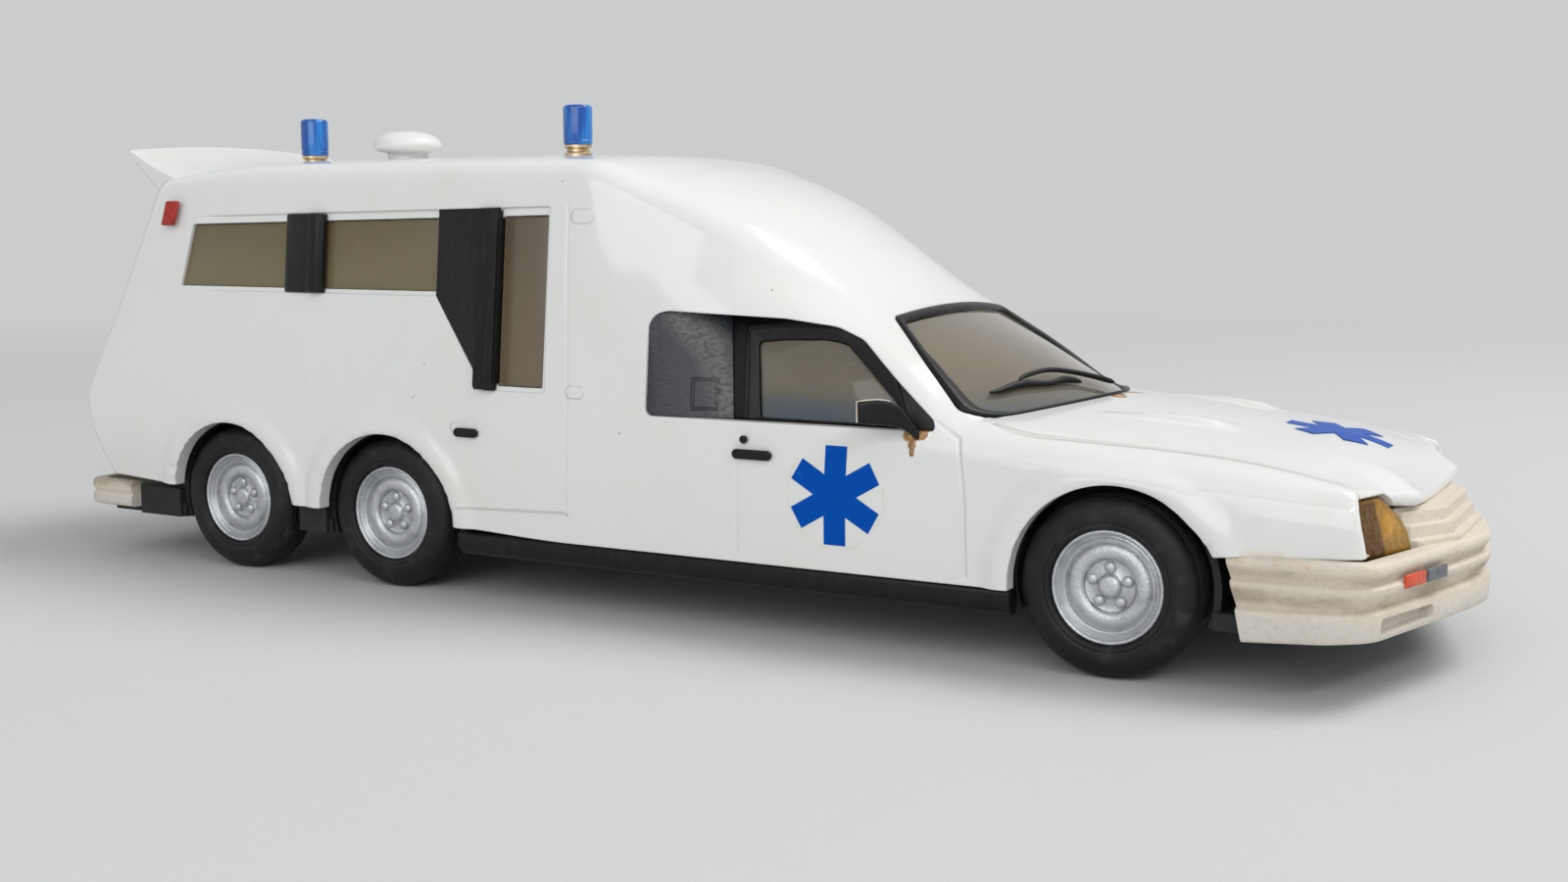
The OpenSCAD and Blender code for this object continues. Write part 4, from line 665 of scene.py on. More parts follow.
# Tints that are mixed into the colours in the sidebar, and colours of pieces that it doesn't list
TINTS = {
    "thick_glue": (.50, .26, .035),
    "casting": (.60, .55, .44),
    "casting_shade": (.5, .43, .32),
    "rubbed_trim": (.022, .021, .021),
    "panel": (.014, .016, .022),
    "panel_scratch": (.034, .037, .048),
    # Painted sheen of the quarter panels
    "panel_sheen": (.20, .185, .165),
    "base": (.02, .02, .021),
    "base_dust": (.045, .043, .04),
    "bumper_foot": (.62, .60, .56),
    "bumper_seam": (.62, .40, .15),
    # Painted highlights in the headlamps
    "lamp_gold_glint": (.60, .31, .035),
    "lamp_dark": (.075, .032, .004),
    "lamp_marks": (.15, .072, .011),
    "lamp_rim": (.52, .28, .04),
    "deep_orange": (.5, .035, .008),
    "deep_grey": (.07, .075, .085),
    "deep_red": (.22, .008, .006),
    # Painted reflections on the clear panes
    "pane_far": (.58, .50, .31),
    "pane_foot": (.13, .24, .36),
    "pane_dust": (.8, .75, .6),
    # Painted shade at the heads of the box's panes
    "strip_head_shade": (.125, .098, .045),
    "tall_head_shade": (.125, .094, .062),
    "tall_foot": (.165, .128, .084),
    "frost_mist": (.10, .08, .04),
    # Painted highlights on the edges of the box's panes, and pale dust
    "frost_glint_and_dust": (.45, .33, .17),
    "gold_shade": (.48, .33, .18),
    # Painted highlights of the beacons
    "blue_highlight": (.012, .27, .80),
    "badge_worn": (.01, .13, .55),
    "steel": (.5, .5, .51),
    "cabin": (.06, .058, .055),
    "cabin_dust": (.11, .10, .085),
    "rim_wash": (.26, .265, .28),
    "tyre_dust": (.12, .115, .105),
    "floor_mark": (.56, .56, .55),
}
# Front door's edge on the fender, in millimetres along the car and above the ground
FENDER_LINE = ((30.1, 19.3), (31.2, 18.6), (32.25, 18.1), (32.7, 16.8), (33.2, 13.3), (33.35, 7.3))
# Panel lines of the body's sides, in the same way, each with its width and depth
SIDE_LINES = (
    (FENDER_LINE, .15, .5),
    (((12.2, 15.4), (12.2, 7.3)), .2, .22),
    (((-6.2, 36.9), (-5.6, 20.3), (-5.7, 9.1)), .16, .2),
    (((-5.7, 9.1), (-17.8, 8.65)), .18, .65),
)
# Raised hinge marks ahead of the side door's edge and the cup over its handle, with their widths
HINGE_MARKS = ((((-5.2, 35.9), (-4.1, 35.9)), .95), (((-5.2, 20.25), (-4.4, 20.25)), .85),
               (((-18.3, 16.35), (-16.9, 16.35)), .8))
# Groove between the bonnet and a fender, in millimetres along the car and off its middle, and its width
BONNET_LINE = (
    (34.4, 17.05), (36.4, 17.8), (38.4, 17.95), (42.2, 17.57), (47.3, 17.02), (52.4, 16.79), (57.4, 16.77),
    (61.6, 16.5), (63.6, 16.9),
)
BONNET_LINE_WIDTH = .42 * MM
# Raised wedge on each side of the bonnet: its rear point, its front end, half its width there, its rise
# and the sharper relief on its edges
WEDGE_REAR, WEDGE_FRONT = Vector((40.2, 9.5, 0)) * MM, Vector((51.6, 7.3, 0)) * MM
WEDGE_HALF, WEDGE_RISE, WEDGE_RELIEF = 1.8 * MM, .42 * MM, 1.0
# Its width at the rear point and on top as shares, and where along it the relief and the rise fade
WEDGE_REAR_SHARE, WEDGE_TOP_SHARE, RISE_REAR_SHARE = .18, .1, .5
RELIEF_FADES, RISE_FADES = (.3, .74, 1), (.6, .8, 1.05)
# Middle of a door's badge, in millimetres, and radius and width of the old film's edge round it
BADGE_PLACE = (21.65, 12.9)
BADGE_FILM_RADIUS, BADGE_FILM_WIDTH = 4.5 * MM, .13 * MM
# Old glue under the mirrors, with its width, and at the cowl, and a stain over the bumper
GLUE_DRIPS = ((((28.0, 18.25), (29.1, 18.4)), .5), (((28.4, 18.1), (28.45, 17.5)), .34),
              (((28.45, 17.5), (28.5, 16.8)), .19))
COWL_GLUE = ((39.1, .9), (39.8, 2.2))
FENDER_STAIN = ((55.6, 11.0), (58.1, 11.05))
COWL_GLUE_WIDTH, FENDER_STAIN_WIDTH = 1.1 * MM, .7 * MM
# Soft edges of the lines and of the glue, as shares of their widths
LINE_SPREAD, GLUE_SPREAD = 2, 1.6
# Where the marks of the sides begin, off the middle, and those of the bonnet and the cowl, above the ground
ON_SIDE, ON_BONNET, ON_COWL = (15.5 * MM, 17 * MM), (14 * MM, 15 * MM), (19 * MM, 20 * MM)


def millimetres(points, order):
    """Points of a plane as vectors in metres, with their two values on the named axes."""
    spread = {"xz": lambda u, v: (u, 0, v), "xy": lambda u, v: (u, v, 0)}[order]
    return [Vector(spread(*p)) * MM for p in points]


def bonnet_wedge(f, plan):
    """Relief of the wedges at a place on the bonnet."""
    way = WEDGE_FRONT - WEDGE_REAR
    off = f.node("ShaderNodeVectorMath", {"operation": "SUBTRACT"}, {0: plan, 1: WEDGE_REAR})
    t = f.node("ShaderNodeVectorMath", {"operation": "DOT_PRODUCT"}, {0: off, 1: way / way.length_squared},
               output="Value")
    foot = f.node("ShaderNodeVectorMath", {"operation": "SCALE"}, {0: way, "Scale": t})
    aside = off.distance(foot) / (t * (1 - WEDGE_REAR_SHARE) + WEDGE_REAR_SHARE)
    whole, falling, gone = RELIEF_FADES
    ends = t.above(0, whole) * t.above(gone, falling)
    return aside.above(WEDGE_HALF, WEDGE_HALF * WEDGE_TOP_SHARE) * ends * WEDGE_RELIEF


def white_paint():
    c = colours()
    f = Finish("gloss_white_paint", c.paint, .17, coat_weight=.3, coat_roughness=.05)
    x, y, z = f.axes()
    side = f.vector(x, 0.0, z)
    plan = f.vector(x, abs(y), 0.0)
    on_side = abs(y).above(*ON_SIDE)
    on_bonnet = z.above(*ON_BONNET)
    lines = f.near_line(plan, millimetres(BONNET_LINE, "xy"), BONNET_LINE_WIDTH) * on_bonnet
    for points, width, depth in SIDE_LINES:
        line = f.near_line(side, millimetres(points, "xz"), LINE_SPREAD * width * MM)
        lines = lines.most(line * depth * on_side)
    hinges = 0.0
    for points, width in HINGE_MARKS:
        hinges = f.near_line(side, millimetres(points, "xz"), width * MM).above(.08, .42).most(hinges)
    badge = side.distance(Vector((BADGE_PLACE[0], 0, BADGE_PLACE[1])) * MM)
    film = badge.near(BADGE_FILM_RADIUS, BADGE_FILM_WIDTH) * on_side
    drips = f.near_line(plan, millimetres(COWL_GLUE, "xy"), COWL_GLUE_WIDTH) * z.above(*ON_COWL)
    for points, width in GLUE_DRIPS:
        drips = drips.most(f.near_line(side, millimetres(points, "xz"), width * GLUE_SPREAD * MM) * on_side)
    glued = drips.above(.25, .4)
    stain = f.near_line(side, millimetres(FENDER_STAIN, "xz"), FENDER_STAIN_WIDTH) * on_side
    pits = f.specks(3.4 * MM, .032) * f.noise(6 * MM).above(.50, .58)
    cloud = f.noise(14 * MM, 4).above(.48, .75)
    streak = f.noise(2.2 * MM, 5, (1, 1, .4)).above(.52, .8)
    aged = cloud * .14 + streak * .12
    ring = film * f.noise(1.6 * MM).above(.40, .60) * .6
    aged = aged.most(lines * .22).most(ring).most(pits * .75).most(stain * .6)
    colour = f.mix(aged, c.paint, c.yellowed)
    amber = f.mix(f.noise(.45 * MM, 3).above(.42, .6), c.glue, TINTS["thick_glue"])
    f.set("Base Color", f.mix(glued * .95, colour, amber))
    f.set("Roughness", f.noise(5 * MM, 3) * .14 + .08)
    relief = hinges * on_side * .45 - lines * .8 - pits * .5 + f.noise(1.3 * MM, 1) * .045 + drips
    relief = relief + bonnet_wedge(f, plan) * on_bonnet
    f.bump(relief, .28 * MM, soft_edge=.2 * MM)
    return f


def bare_casting():
    f = Finish("bare_casting", TINTS["casting"], .7)
    f.set("Base Color", f.mix(f.noise(3 * MM, 4), TINTS["casting"], TINTS["casting_shade"]))
    f.bump(f.noise(.5 * MM, 3), .03 * MM)
    return f


def satin_black():
    c = colours()
    f = Finish("satin_black_paint", c.trim, .38, specular_ior_level=.24)
    brushed = f.noise(.5 * MM, 4, (1, 1, .25))
    f.set("Base Color", f.mix(brushed.above(.45, .8) * .5, c.trim, TINTS["rubbed_trim"]))
    f.set("Roughness", f.noise(1.2 * MM, 4) * .25 + .22)
    f.bump(brushed * .6 + f.noise(2 * MM, 2) * .4, .035 * MM, soft_edge=.10 * MM)
    return f


# Outline of the flap pressed into a quarter panel, in millimetres along the car and above the ground, and the
# width of its groove
FLAP_LINE = ((6.8, 21.8), (8.8, 21.8), (9.1, 19.35), (7.0, 19.3), (6.8, 21.8))
FLAP_LINE_WIDTH = .2 * MM
# Painted sheen: the diagonal band where the curved panel reflects the light, lightened along its
# scratches, and how widely
SHEEN_LINE = ((5.2, 27.3), (8.0, 24.4), (10.3, 19.0))
SHEEN_WIDTH = 2.1 * MM


def brushed_black():
    c = colours()
    f = Finish("brushed_black_paint", c.trim, .4)
    x, _, z = f.axes()
    side = f.vector(x, 0.0, z)
    flap = f.near_line(side, millimetres(FLAP_LINE, "xz"), FLAP_LINE_WIDTH)
    painted_sheen = f.near_line(side, millimetres(SHEEN_LINE, "xz"), SHEEN_WIDTH)
    scratch = f.noise(.3 * MM, 6, (.45, 1, 1.2))
    black = f.mix(scratch.above(.40, .75), TINTS["panel"], TINTS["panel_scratch"])
    # Painted sheen: the scratches along the diagonal band are made pale
    f.set("Base Color", f.mix(painted_sheen * scratch.above(.30, .62) * .6, black, TINTS["panel_sheen"]))
    f.set("Roughness", scratch * .3 + .26)
    f.bump(scratch * .25 + flap * .75, .12 * MM)
    return f


def matt_black():
    f = Finish("matt_black_base", TINTS["base"], .62, specular_ior_level=.3)
    grain = f.noise(.45 * MM, 3)
    dust = f.noise(6 * MM, 4).above(.45, .7) * .6
    f.set("Base Color", f.mix(dust, TINTS["base"], TINTS["base_dust"]))
    f.bump(grain, .03 * MM, soft_edge=.15 * MM)
    return f


# Brown darkening in the bumper's channels, partly dirt and partly painted shade under the ledges: height,
# half the width of its band and of the darkest part
LOWER_CHANNEL = (8.0 * MM, .95 * MM, .3 * MM)
UPPER_CHANNEL = (9.75 * MM, .55 * MM, .1 * MM)
# Yellowed seam over the bumper, with half its width, and where the bumper's foot turns pale
BUMPER_SEAM, BUMPER_FOOT = (10.5 * MM, .35 * MM), (6.9 * MM, 6.2 * MM)


def aged_white():
    c = colours()
    f = Finish("aged_white_plastic", c.bumper, .62)
    _, _, z = f.axes()
    blotch = f.noise(2.6 * MM, 6, (.6, .6, 1.6)).above(.36, .66)
    fine = f.noise(.5 * MM, 5).above(.40, .78)
    bands = z.near(*LOWER_CHANNEL).most(z.near(*UPPER_CHANNEL) * .8)
    # Blotches of dirt, and an even painted shade under the ledges across the channels' bands
    grime = bands * (blotch * .45 + .18) + fine * .16 + blotch * .08
    seam = z.near(*BUMPER_SEAM) * f.noise(2.2 * MM, 2).above(.54, .68)
    pale = f.mix(z.above(*BUMPER_FOOT) * .55, c.bumper, TINTS["bumper_foot"])
    f.set("Base Color", f.mix(seam * .5, f.mix(grime, pale, c.bumper_grime_and_shade), TINTS["bumper_seam"]))
    f.set("Roughness", fine * .2 + .5)
    f.bump(f.noise(.45 * MM, 4) * .6 + blotch * .4, .05 * MM, soft_edge=.14 * MM)
    return f


# Marks of a headlamp: its dark outer part, the bright upper rim, the star, a raised facet that is also
# painted bright as a highlight, with its reach and core, and the scale and width of the fine lines
AMBER_OUTER, AMBER_RIM = (13.4 * MM, 13.8 * MM), (14.55 * MM, 14.8 * MM)
AMBER_STAR, AMBER_STAR_REACH = (0, 12.4 * MM, 12.9 * MM), (1.3 * MM, .2 * MM)
AMBER_LINES, AMBER_LINE_WIDTH = 420.0, .03
BLACK, WHITE = (0, 0, 0, 1), (1, 1, 1, 1)


def amber_lens():
    c = colours()
    f = Finish("amber_lens", c.headlamp, .22, specular_ior_level=.25, coat_weight=.08)
    _, y, z = f.axes()
    outer = abs(y).above(*AMBER_OUTER)
    face = f.vector(0.0, abs(y), z)
    star = face.distance(AMBER_STAR).above(*AMBER_STAR_REACH)
    bricks = {"Vector": f.vector(abs(y), z, 0.0), "Scale": AMBER_LINES, "Color1": BLACK, "Color2": BLACK,
              "Mortar": WHITE, "Mortar Size": AMBER_LINE_WIDTH}
    marks = f.node("ShaderNodeTexBrick", {"offset": .0}, bricks, output="Fac")
    gold_glints = f.noise(.9 * MM, 3).above(.42, .66)
    rim = z.above(*AMBER_RIM)
    # Painted highlights: the golden glints and the star lighten the amber
    warm = f.mix(gold_glints * .45 + star * .55, c.headlamp, TINTS["lamp_gold_glint"])
    dark = f.mix(marks * .6, TINTS["lamp_dark"], TINTS["lamp_marks"])
    f.set("Base Color", f.mix(rim * .7, f.mix(outer * .9, warm, dark), TINTS["lamp_rim"]))
    f.set("Roughness", gold_glints * .2 + .10)
    f.bump(gold_glints * .5 + marks * outer * .3 + star * .3, .12 * MM, soft_edge=.12 * MM)
    return f


def painted_lamp(name, colour, deep):
    f = Finish(name, colour, .34)
    f.set("Base Color", f.mix(f.noise(.6 * MM, 4).above(.42, .72), colour, deep))
    f.bump(f.noise(.4 * MM, 3), .05 * MM, soft_edge=.12 * MM)
    return f


def orange_paint():
    return painted_lamp("orange_paint", colours().orange, TINTS["deep_orange"])


def grey_paint():
    return painted_lamp("grey_paint", colours().grey, TINTS["deep_grey"])


def red_lens():
    return painted_lamp("red_lens", colours().red, TINTS["deep_red"])


# Painted reflections on the clear panes: blue towards their foot and paler towards the far side
PANE_FOOT_REFLECTION, PANE_FAR_REFLECTION = (21.6 * MM, 19.3 * MM), (-2 * MM, 15 * MM)


def smoked_pane():
    c = colours()
    f = Finish("smoked_pane", c.pane, .06, transmission_weight=.7, ior=1.35, coat_weight=.4,
               coat_roughness=.03)
    _, y, z = f.axes()
    # Painted reflections: bluish towards the foot and pale beige towards the far side
    foot = z.above(*PANE_FOOT_REFLECTION) * (f.noise(5 * MM, 3) * .6 + .5)
    far = y.above(*PANE_FAR_REFLECTION)
    tint = f.mix(far * .6, c.pane, TINTS["pane_far"])
    tint = f.mix(foot * .75, tint, TINTS["pane_foot"])
    f.set("Roughness", f.noise(3 * MM, 4) * .14 + .02)
    f.set("Base Color", f.mix(f.specks(2.5 * MM, .04), tint, TINTS["pane_dust"]))
    f.bump(f.noise(8 * MM, 1), .05 * MM)
    return f


# Where the tall panes begin along the car, and the heights between which the two kinds of pane turn
# darker towards their heads, a painted shade
TALL_FROM, STRIP_SHADE_FADE, TALL_SHADE_FADE = (-18 * MM, -16 * MM), (36.5 * MM, 28.5 * MM), (36 * MM, 22 * MM)
# Painted highlights on the upright edges of the panes beside the black posts: place along the car, reach
# and core
FROST_GLINT_EDGES = ((-13.7 * MM, .30 * MM, .12 * MM), (-20.9 * MM, .35 * MM, .1 * MM))


def frosted_pane():
    c = colours()
    f = Finish("frosted_pane", c.frosted, .30, coat_weight=.25, coat_roughness=.15)
    x, _, z = f.axes()
    mist = f.noise(9 * MM, 3)
    front, rear = (x.near(*edge) for edge in FROST_GLINT_EDGES)
    # Painted shade: both kinds of pane darken towards their heads
    strip = f.mix(z.above(*STRIP_SHADE_FADE), TINTS["strip_head_shade"], c.frosted)
    tall = f.mix(z.above(*TALL_SHADE_FADE), TINTS["tall_head_shade"], TINTS["tall_foot"])
    shade = f.mix(mist * .25, f.mix(x.above(*TALL_FROM), strip, tall), TINTS["frost_mist"])
    # Painted highlights on the edges beside the posts, and pale specks of dust
    worn = front.most(rear).most(f.specks(3 * MM, .035)) * .45
    f.set("Base Color", f.mix(worn, shade, TINTS["frost_glint_and_dust"]))
    f.set("Roughness", mist * .2 + .18)
    f.bump(f.noise(4 * MM, 2), .04 * MM, soft_edge=.08 * MM)
    return f


def dull_gold():
    c = colours()
    f = Finish("dull_gold", c.gold, .32, metallic=1.0)
    f.set("Base Color", f.mix(f.noise(.8 * MM, 4).above(.4, .7), c.gold, TINTS["gold_shade"]))
    f.set("Roughness", f.noise(.6 * MM, 3) * .3 + .2)
    f.bump(f.noise(.3 * MM, 2), .02 * MM)
    return f


def blue_lens():
    c = colours()
    f = Finish("blue_lens", c.blue, .16, transmission_weight=.25, ior=1.45, coat_weight=.5)
    # Painted highlights: bright upright streaks stand for light caught in the lens
    streak = f.noise(.9 * MM, 2, (1, 1, .12))
    f.set("Base Color", f.mix(streak.above(.42, .62), c.blue, TINTS["blue_highlight"]))
    f.set("Roughness", f.noise(.7 * MM, 3) * .2 + .08)
    f.bump(f.noise(.8 * MM, 2), .03 * MM)
    return f


def badge_film():
    c = colours()
    f = Finish("badge_film", c.badge, .4, specular_ior_level=.04)
    chips = f.specks(.55 * MM, .12) * f.noise(2.2 * MM, 2).above(.55, .66)
    worn = chips.most(f.noise(1.4 * MM, 5).above(.58, .85) * .5)
    f.set("Base Color", f.mix(worn, c.badge, TINTS["badge_worn"]))
    f.set("Roughness", f.noise(1 * MM, 3) * .2 + .2)
    f.bump(f.noise(.6 * MM, 3), .02 * MM)
    return f


def plain_steel():
    f = Finish("plain_steel", TINTS["steel"], .35, metallic=1.0)
    f.set("Roughness", f.noise(.5 * MM, 4, (1, .2, 1)) * .3 + .22)
    f.bump(f.noise(.3 * MM, 3, (1, .2, 1)), .015 * MM)
    return f


def dark_cabin():
    f = Finish("dark_cabin", TINTS["cabin"], .6)
    f.set("Base Color", f.mix(f.noise(2 * MM, 4), TINTS["cabin"], TINTS["cabin_dust"]))
    f.bump(f.noise(.4 * MM, 3), .04 * MM)
    return f


def silver_paint():
    c = colours()
    f = Finish("silver_paint", c.silver, .4, metallic=.85)
    flake = f.noise(.16 * MM, 3)
    wash = f.noise(1.4 * MM, 4).above(.45, .72)
    f.set("Base Color", f.mix(wash * .45, c.silver, TINTS["rim_wash"]))
    f.set("Roughness", flake * .35 + .24)
    f.bump(flake * .5 + f.noise(.45 * MM, 3) * .5, .075 * MM)
    return f


def tyre_rubber():
    c = colours()
    f = Finish("tyre_rubber", c.tyre, .62, specular_ior_level=.28)
    dust = f.specks(.9 * MM, .05) * f.noise(3 * MM, 2).above(.52, .62)
    scuff = f.noise(1.6 * MM, 5).above(.5, .8)
    f.set("Base Color", f.mix(dust.most(scuff * .22), c.tyre, TINTS["tyre_dust"]))
    f.set("Roughness", scuff * .2 + .48)
    f.bump(f.noise(.35 * MM, 3) * .5 + scuff * .5, .04 * MM)
    return f


MAKERS = {
    "paint": white_paint, "casting": bare_casting, "base": matt_black, "trim": satin_black,
    "bumper": aged_white, "headlamp": amber_lens, "orange_lamp": orange_paint, "grey_lamp": grey_paint,
    "pane": smoked_pane, "frosted_pane": frosted_pane, "red_lamp": red_lens, "gold": dull_gold,
    "blue_lens": blue_lens, "steel": plain_steel, "interior": dark_cabin, "rim": silver_paint,
    "tyre": tyre_rubber,
}


# Body


# A wheel arch runs round two circles ahead of its axle: how far ahead they lie, the second one's radius as a
# share of the first one's, and the height of both as a share of the axle's
ARCH_SHIFT, ARCH_FLARE_SHIFT = .6 * MM, 1.7 * MM
ARCH_FLARE_SHARE, ARCH_LIFT_SHARE = .91, .97
ARCH_RADII = {"front_wheels": 8.4 * MM, "middle_wheels": 8.15 * MM, "rear_wheels": 8.15 * MM}
# Points of its outline, and circles that the distance from it is measured by
ARCH_POINTS, ARCH_STEPS = 120, 5
# From where the openings of the sides are cut, as a share of half the width
SIDE_CUT_SHARE = .6
# How far a cutter stands out of the skin that it opens
CUT_OVERRUN = MM


def arch_outline(axle, radius):
    """Round a wheel arch's two circles, in lengths along the car and above the ground."""
    z = axle.z * ARCH_LIFT_SHARE
    circles = ((axle.x + ARCH_SHIFT, radius), (axle.x + ARCH_FLARE_SHIFT, radius * ARCH_FLARE_SHARE))
    points = []
    for g in np.linspace(0, math.tau, ARCH_POINTS, endpoint=False):
        way = math.cos(g), math.sin(g)
        x, r = max(circles, key=lambda c: c[0] * way[0] + c[1])
        points.append((x + r * way[0], z + r * way[1]))
    return points


# Where a flare stands highest and where it ends, off the arch's edge, and how it is rolled in at the edge
FLARE_NEAR, FLARE_FAR, FLARE_FADE, FLARE_ROLL_SHARE = 1.1 * MM, 2.5 * MM, .45 * MM, .7
# Flares lie under the first share of the roof's height and outside the second one of half the width, and
# they fade between two heights
FLARE_SHARES, FLARE_HEIGHTS = (.45, .7), (18.5 * MM, 15 * MM)


def arch_distance(axle, radius, x, z):
    """Distance outside a wheel arch's edge."""
    z = z - axle.z * ARCH_LIFT_SHARE
    return min(math.hypot(x - axle.x - blend(ARCH_SHIFT, ARCH_FLARE_SHIFT, t), z)
               - radius * blend(1, ARCH_FLARE_SHARE, t) for t in np.linspace(0, 1, ARCH_STEPS))


def arch_flare(x, z):
    """How far the side stands out round the wheel arches, rounded off towards their edges."""
    out = 0.0
    for body, radius in ARCH_RADII.items():
        d = arch_distance(AXLES[body], radius, x, z)
        rolled = max(0, 1 - max(d, 0) / FLARE_FADE) ** 2
        out = max(out, float(smooth_step(FLARE_FAR, FLARE_NEAR, d)) - FLARE_ROLL_SHARE * rolled)
    return out * sizes().arch_flare


# How far the bonnet is fuller behind the nose: rise, then its rear end, its highest place and half its width
FULL_RISE = .8 * MM
FULL_PLACES, FULL_HALF = (53 * MM, 62.2 * MM), 15.5 * MM


def bonnet_fullness(x, y, lines):
    """Rise of the bonnet's middle between the badge's rear end and the lip of the nose."""
    rear, high = FULL_PLACES
    along = smooth_step(rear, high, x) * smooth_step(lines.nose, high, x)
    return float(FULL_RISE * along * max(0, 1 - (y / FULL_HALF) ** 2))


def wedge_rise(x, y):
    """Rise of the wedge at a place on the bonnet, from nothing at its rear point."""
    way = np.array(WEDGE_FRONT - WEDGE_REAR)
    off = np.array((x, y, 0)) - WEDGE_REAR
    t = np.dot(off, way) / np.dot(way, way)
    half = WEDGE_HALF * blend(RISE_REAR_SHARE, 1, np.clip(t, 0, 1))
    whole, falling, gone = RISE_FADES
    ends = smooth_step(0, whole, t) * smooth_step(gone, falling, t)
    aside = np.linalg.norm(off - way * t)
    return float(WEDGE_RISE * ends * smooth_step(half, half * WEDGE_TOP_SHARE, aside))


# How far behind its lip the nose is shaped, how far it goes back over the lamps, and where its flat middle
# and these notches lie, as shares of half the width
NOSE_REACH, NOTCH_SET = 7 * MM, .45 * MM
NOSE_FLAT_SHARES = (.42, .52)
NOTCH_SHARES = ((.505, .59), (.855, .81))


def nose_shift(half, x, lines):
    """How far the nose comes forward in its flat middle and goes back over the lamps, for each point."""
    y = half[:, 1] / lines.half
    flat = (x - half[:, 0]) * smooth_step(NOSE_FLAT_SHARES[1], NOSE_FLAT_SHARES[0], y)
    (a, b), (c, d) = NOTCH_SHARES
    notch = NOTCH_SET * smooth_step(a, b, y) * smooth_step(c, d, y)
    return (flat - notch) * smooth_step(lines.nose - NOSE_REACH, lines.nose, x)


def shaped(half, lines):
    """A half section with the arch flares, the full bonnet and its wedges on it."""
    half = half.copy()
    top, inner = lines.roof * FLARE_SHARES[0], lines.half * FLARE_SHARES[1]
    for p in half:
        if p[2] < top and p[1] > inner:
            p[1] += arch_flare(p[0], p[2]) * float(smooth_step(*FLARE_HEIGHTS, p[2]))
        if p[0] > lines.cowl:
            p[2] += bonnet_fullness(p[0], p[1], lines) + wedge_rise(p[0], p[1])
    return half


def offset_inward(half, depth):
    """A half section drawn in along its own normals in the cross plane."""
    way = np.gradient(half[:, 1:], axis=0)
    normal = np.stack([way[:, 1], -way[:, 0]], axis=1)
    normal /= np.linalg.norm(normal, axis=1)[:, None]
    normal[-1] = (0, 1)
    moved = half.copy()
    moved[:, 1:] -= normal * depth
    moved[:, 1] = np.maximum(moved[:, 1], 0)
    moved[-1, 1] = 0
    return moved


# Distance of the skin's rings, and steps round the edges of nose and tail
RING_STEP = .45 * MM
ROUND_STEPS = 5
# How far the nose lip is turned up and down, in degrees
LIP_TURN = 80


def body_rings(lines):
    s = sizes()
    rings = []
    nose = shaped(lines.section(lines.nose), lines)
    nose[:, 0] += nose_shift(nose, lines.nose, lines)
    r = s.lip_thickness / 2
    for g in np.linspace(-LIP_TURN, LIP_TURN, 2 * ROUND_STEPS + 1):
        ring = offset_inward(nose, r * (1 - math.sin(math.radians(g))))
        rings.append(whole_ring(ring + (r * math.cos(math.radians(g)) - r, 0, 0)))
    for a, b in zip(lines.stations, lines.stations[1:]):
        steps = max(2, round((a - b) / RING_STEP))
        for k in range(steps):
            x = blend(a, b, k / steps)
            if x < lines.nose - s.lip_thickness:
                ring = shaped(lines.section(x), lines)
                ring[:, 0] += nose_shift(ring, x, lines)
                rings.append(whole_ring(ring))
    end = lines.section(lines.roof_end)
    r = s.tail_round
    for g in np.linspace(0, 90, ROUND_STEPS + 1):
        ring = offset_inward(end, r * (1 - math.cos(math.radians(g))))
        rings.append(whole_ring(ring + (r * (1 - math.sin(math.radians(g))), 0, 0)))
    return rings


# How much of the nose is solid, and the steps between two stations of the hollow
NOSE_SOLID, HOLLOW_STEPS = 8 * MM, 4


def hollow_rings(lines):
    s = sizes()
    start = lines.nose - NOSE_SOLID
    places = [start] + [x for a, b in zip(lines.stations, lines.stations[1:])
                        for x in np.linspace(a, b, HOLLOW_STEPS, endpoint=False) if x < start - MM]
    rings = [lines.section(x, s.shell_wall, COARSE_STEPS) for x in places]
    rings.append(lines.section(lines.roof_end, s.shell_wall, COARSE_STEPS) + (s.shell_wall, 0, 0))
    return [whole_ring(ring) for ring in rings]


# Windscreen


# Radii of the screen's corners as shares of half its width, and how far an inset counts at its sides, head
# and foot
SCREEN_CORNER_SHARES = (.05, .05, .2, .2)
GASKET_SHARES = (1.1, 1.3, .5)
# Where the outline's sides and foot lie, as shares of the way to the shoulder and up the slope, and how far
# off a point its normal is probed
SCREEN_SIDE_SHARE, SCREEN_FOOT_SHARE = 1.035, -.025
PROBE = .01


def screen_point(lines, a, b, h):
    """Point of the screen from side to side (a) and up its slope (b), lifted off it by h."""
    def at(a, b):
        return lines.crown_at(blend(lines.cowl, lines.head, b), a)

    normal = np.cross(at(a + PROBE, b) - at(a - PROBE, b), at(a, b + PROBE) - at(a, b - PROBE))
    return at(a, b) + h * normal / np.linalg.norm(normal)


def screen_size(lines):
    """Length up the middle of the screen and half its mean width."""
    rise = lines.crown_height(lines.head) - lines.crown_height(lines.cowl)
    length = math.hypot(lines.cowl - lines.head, rise)
    return length, (lines.crown(lines.cowl)[0][1] + lines.crown(lines.head)[0][1]) / 2


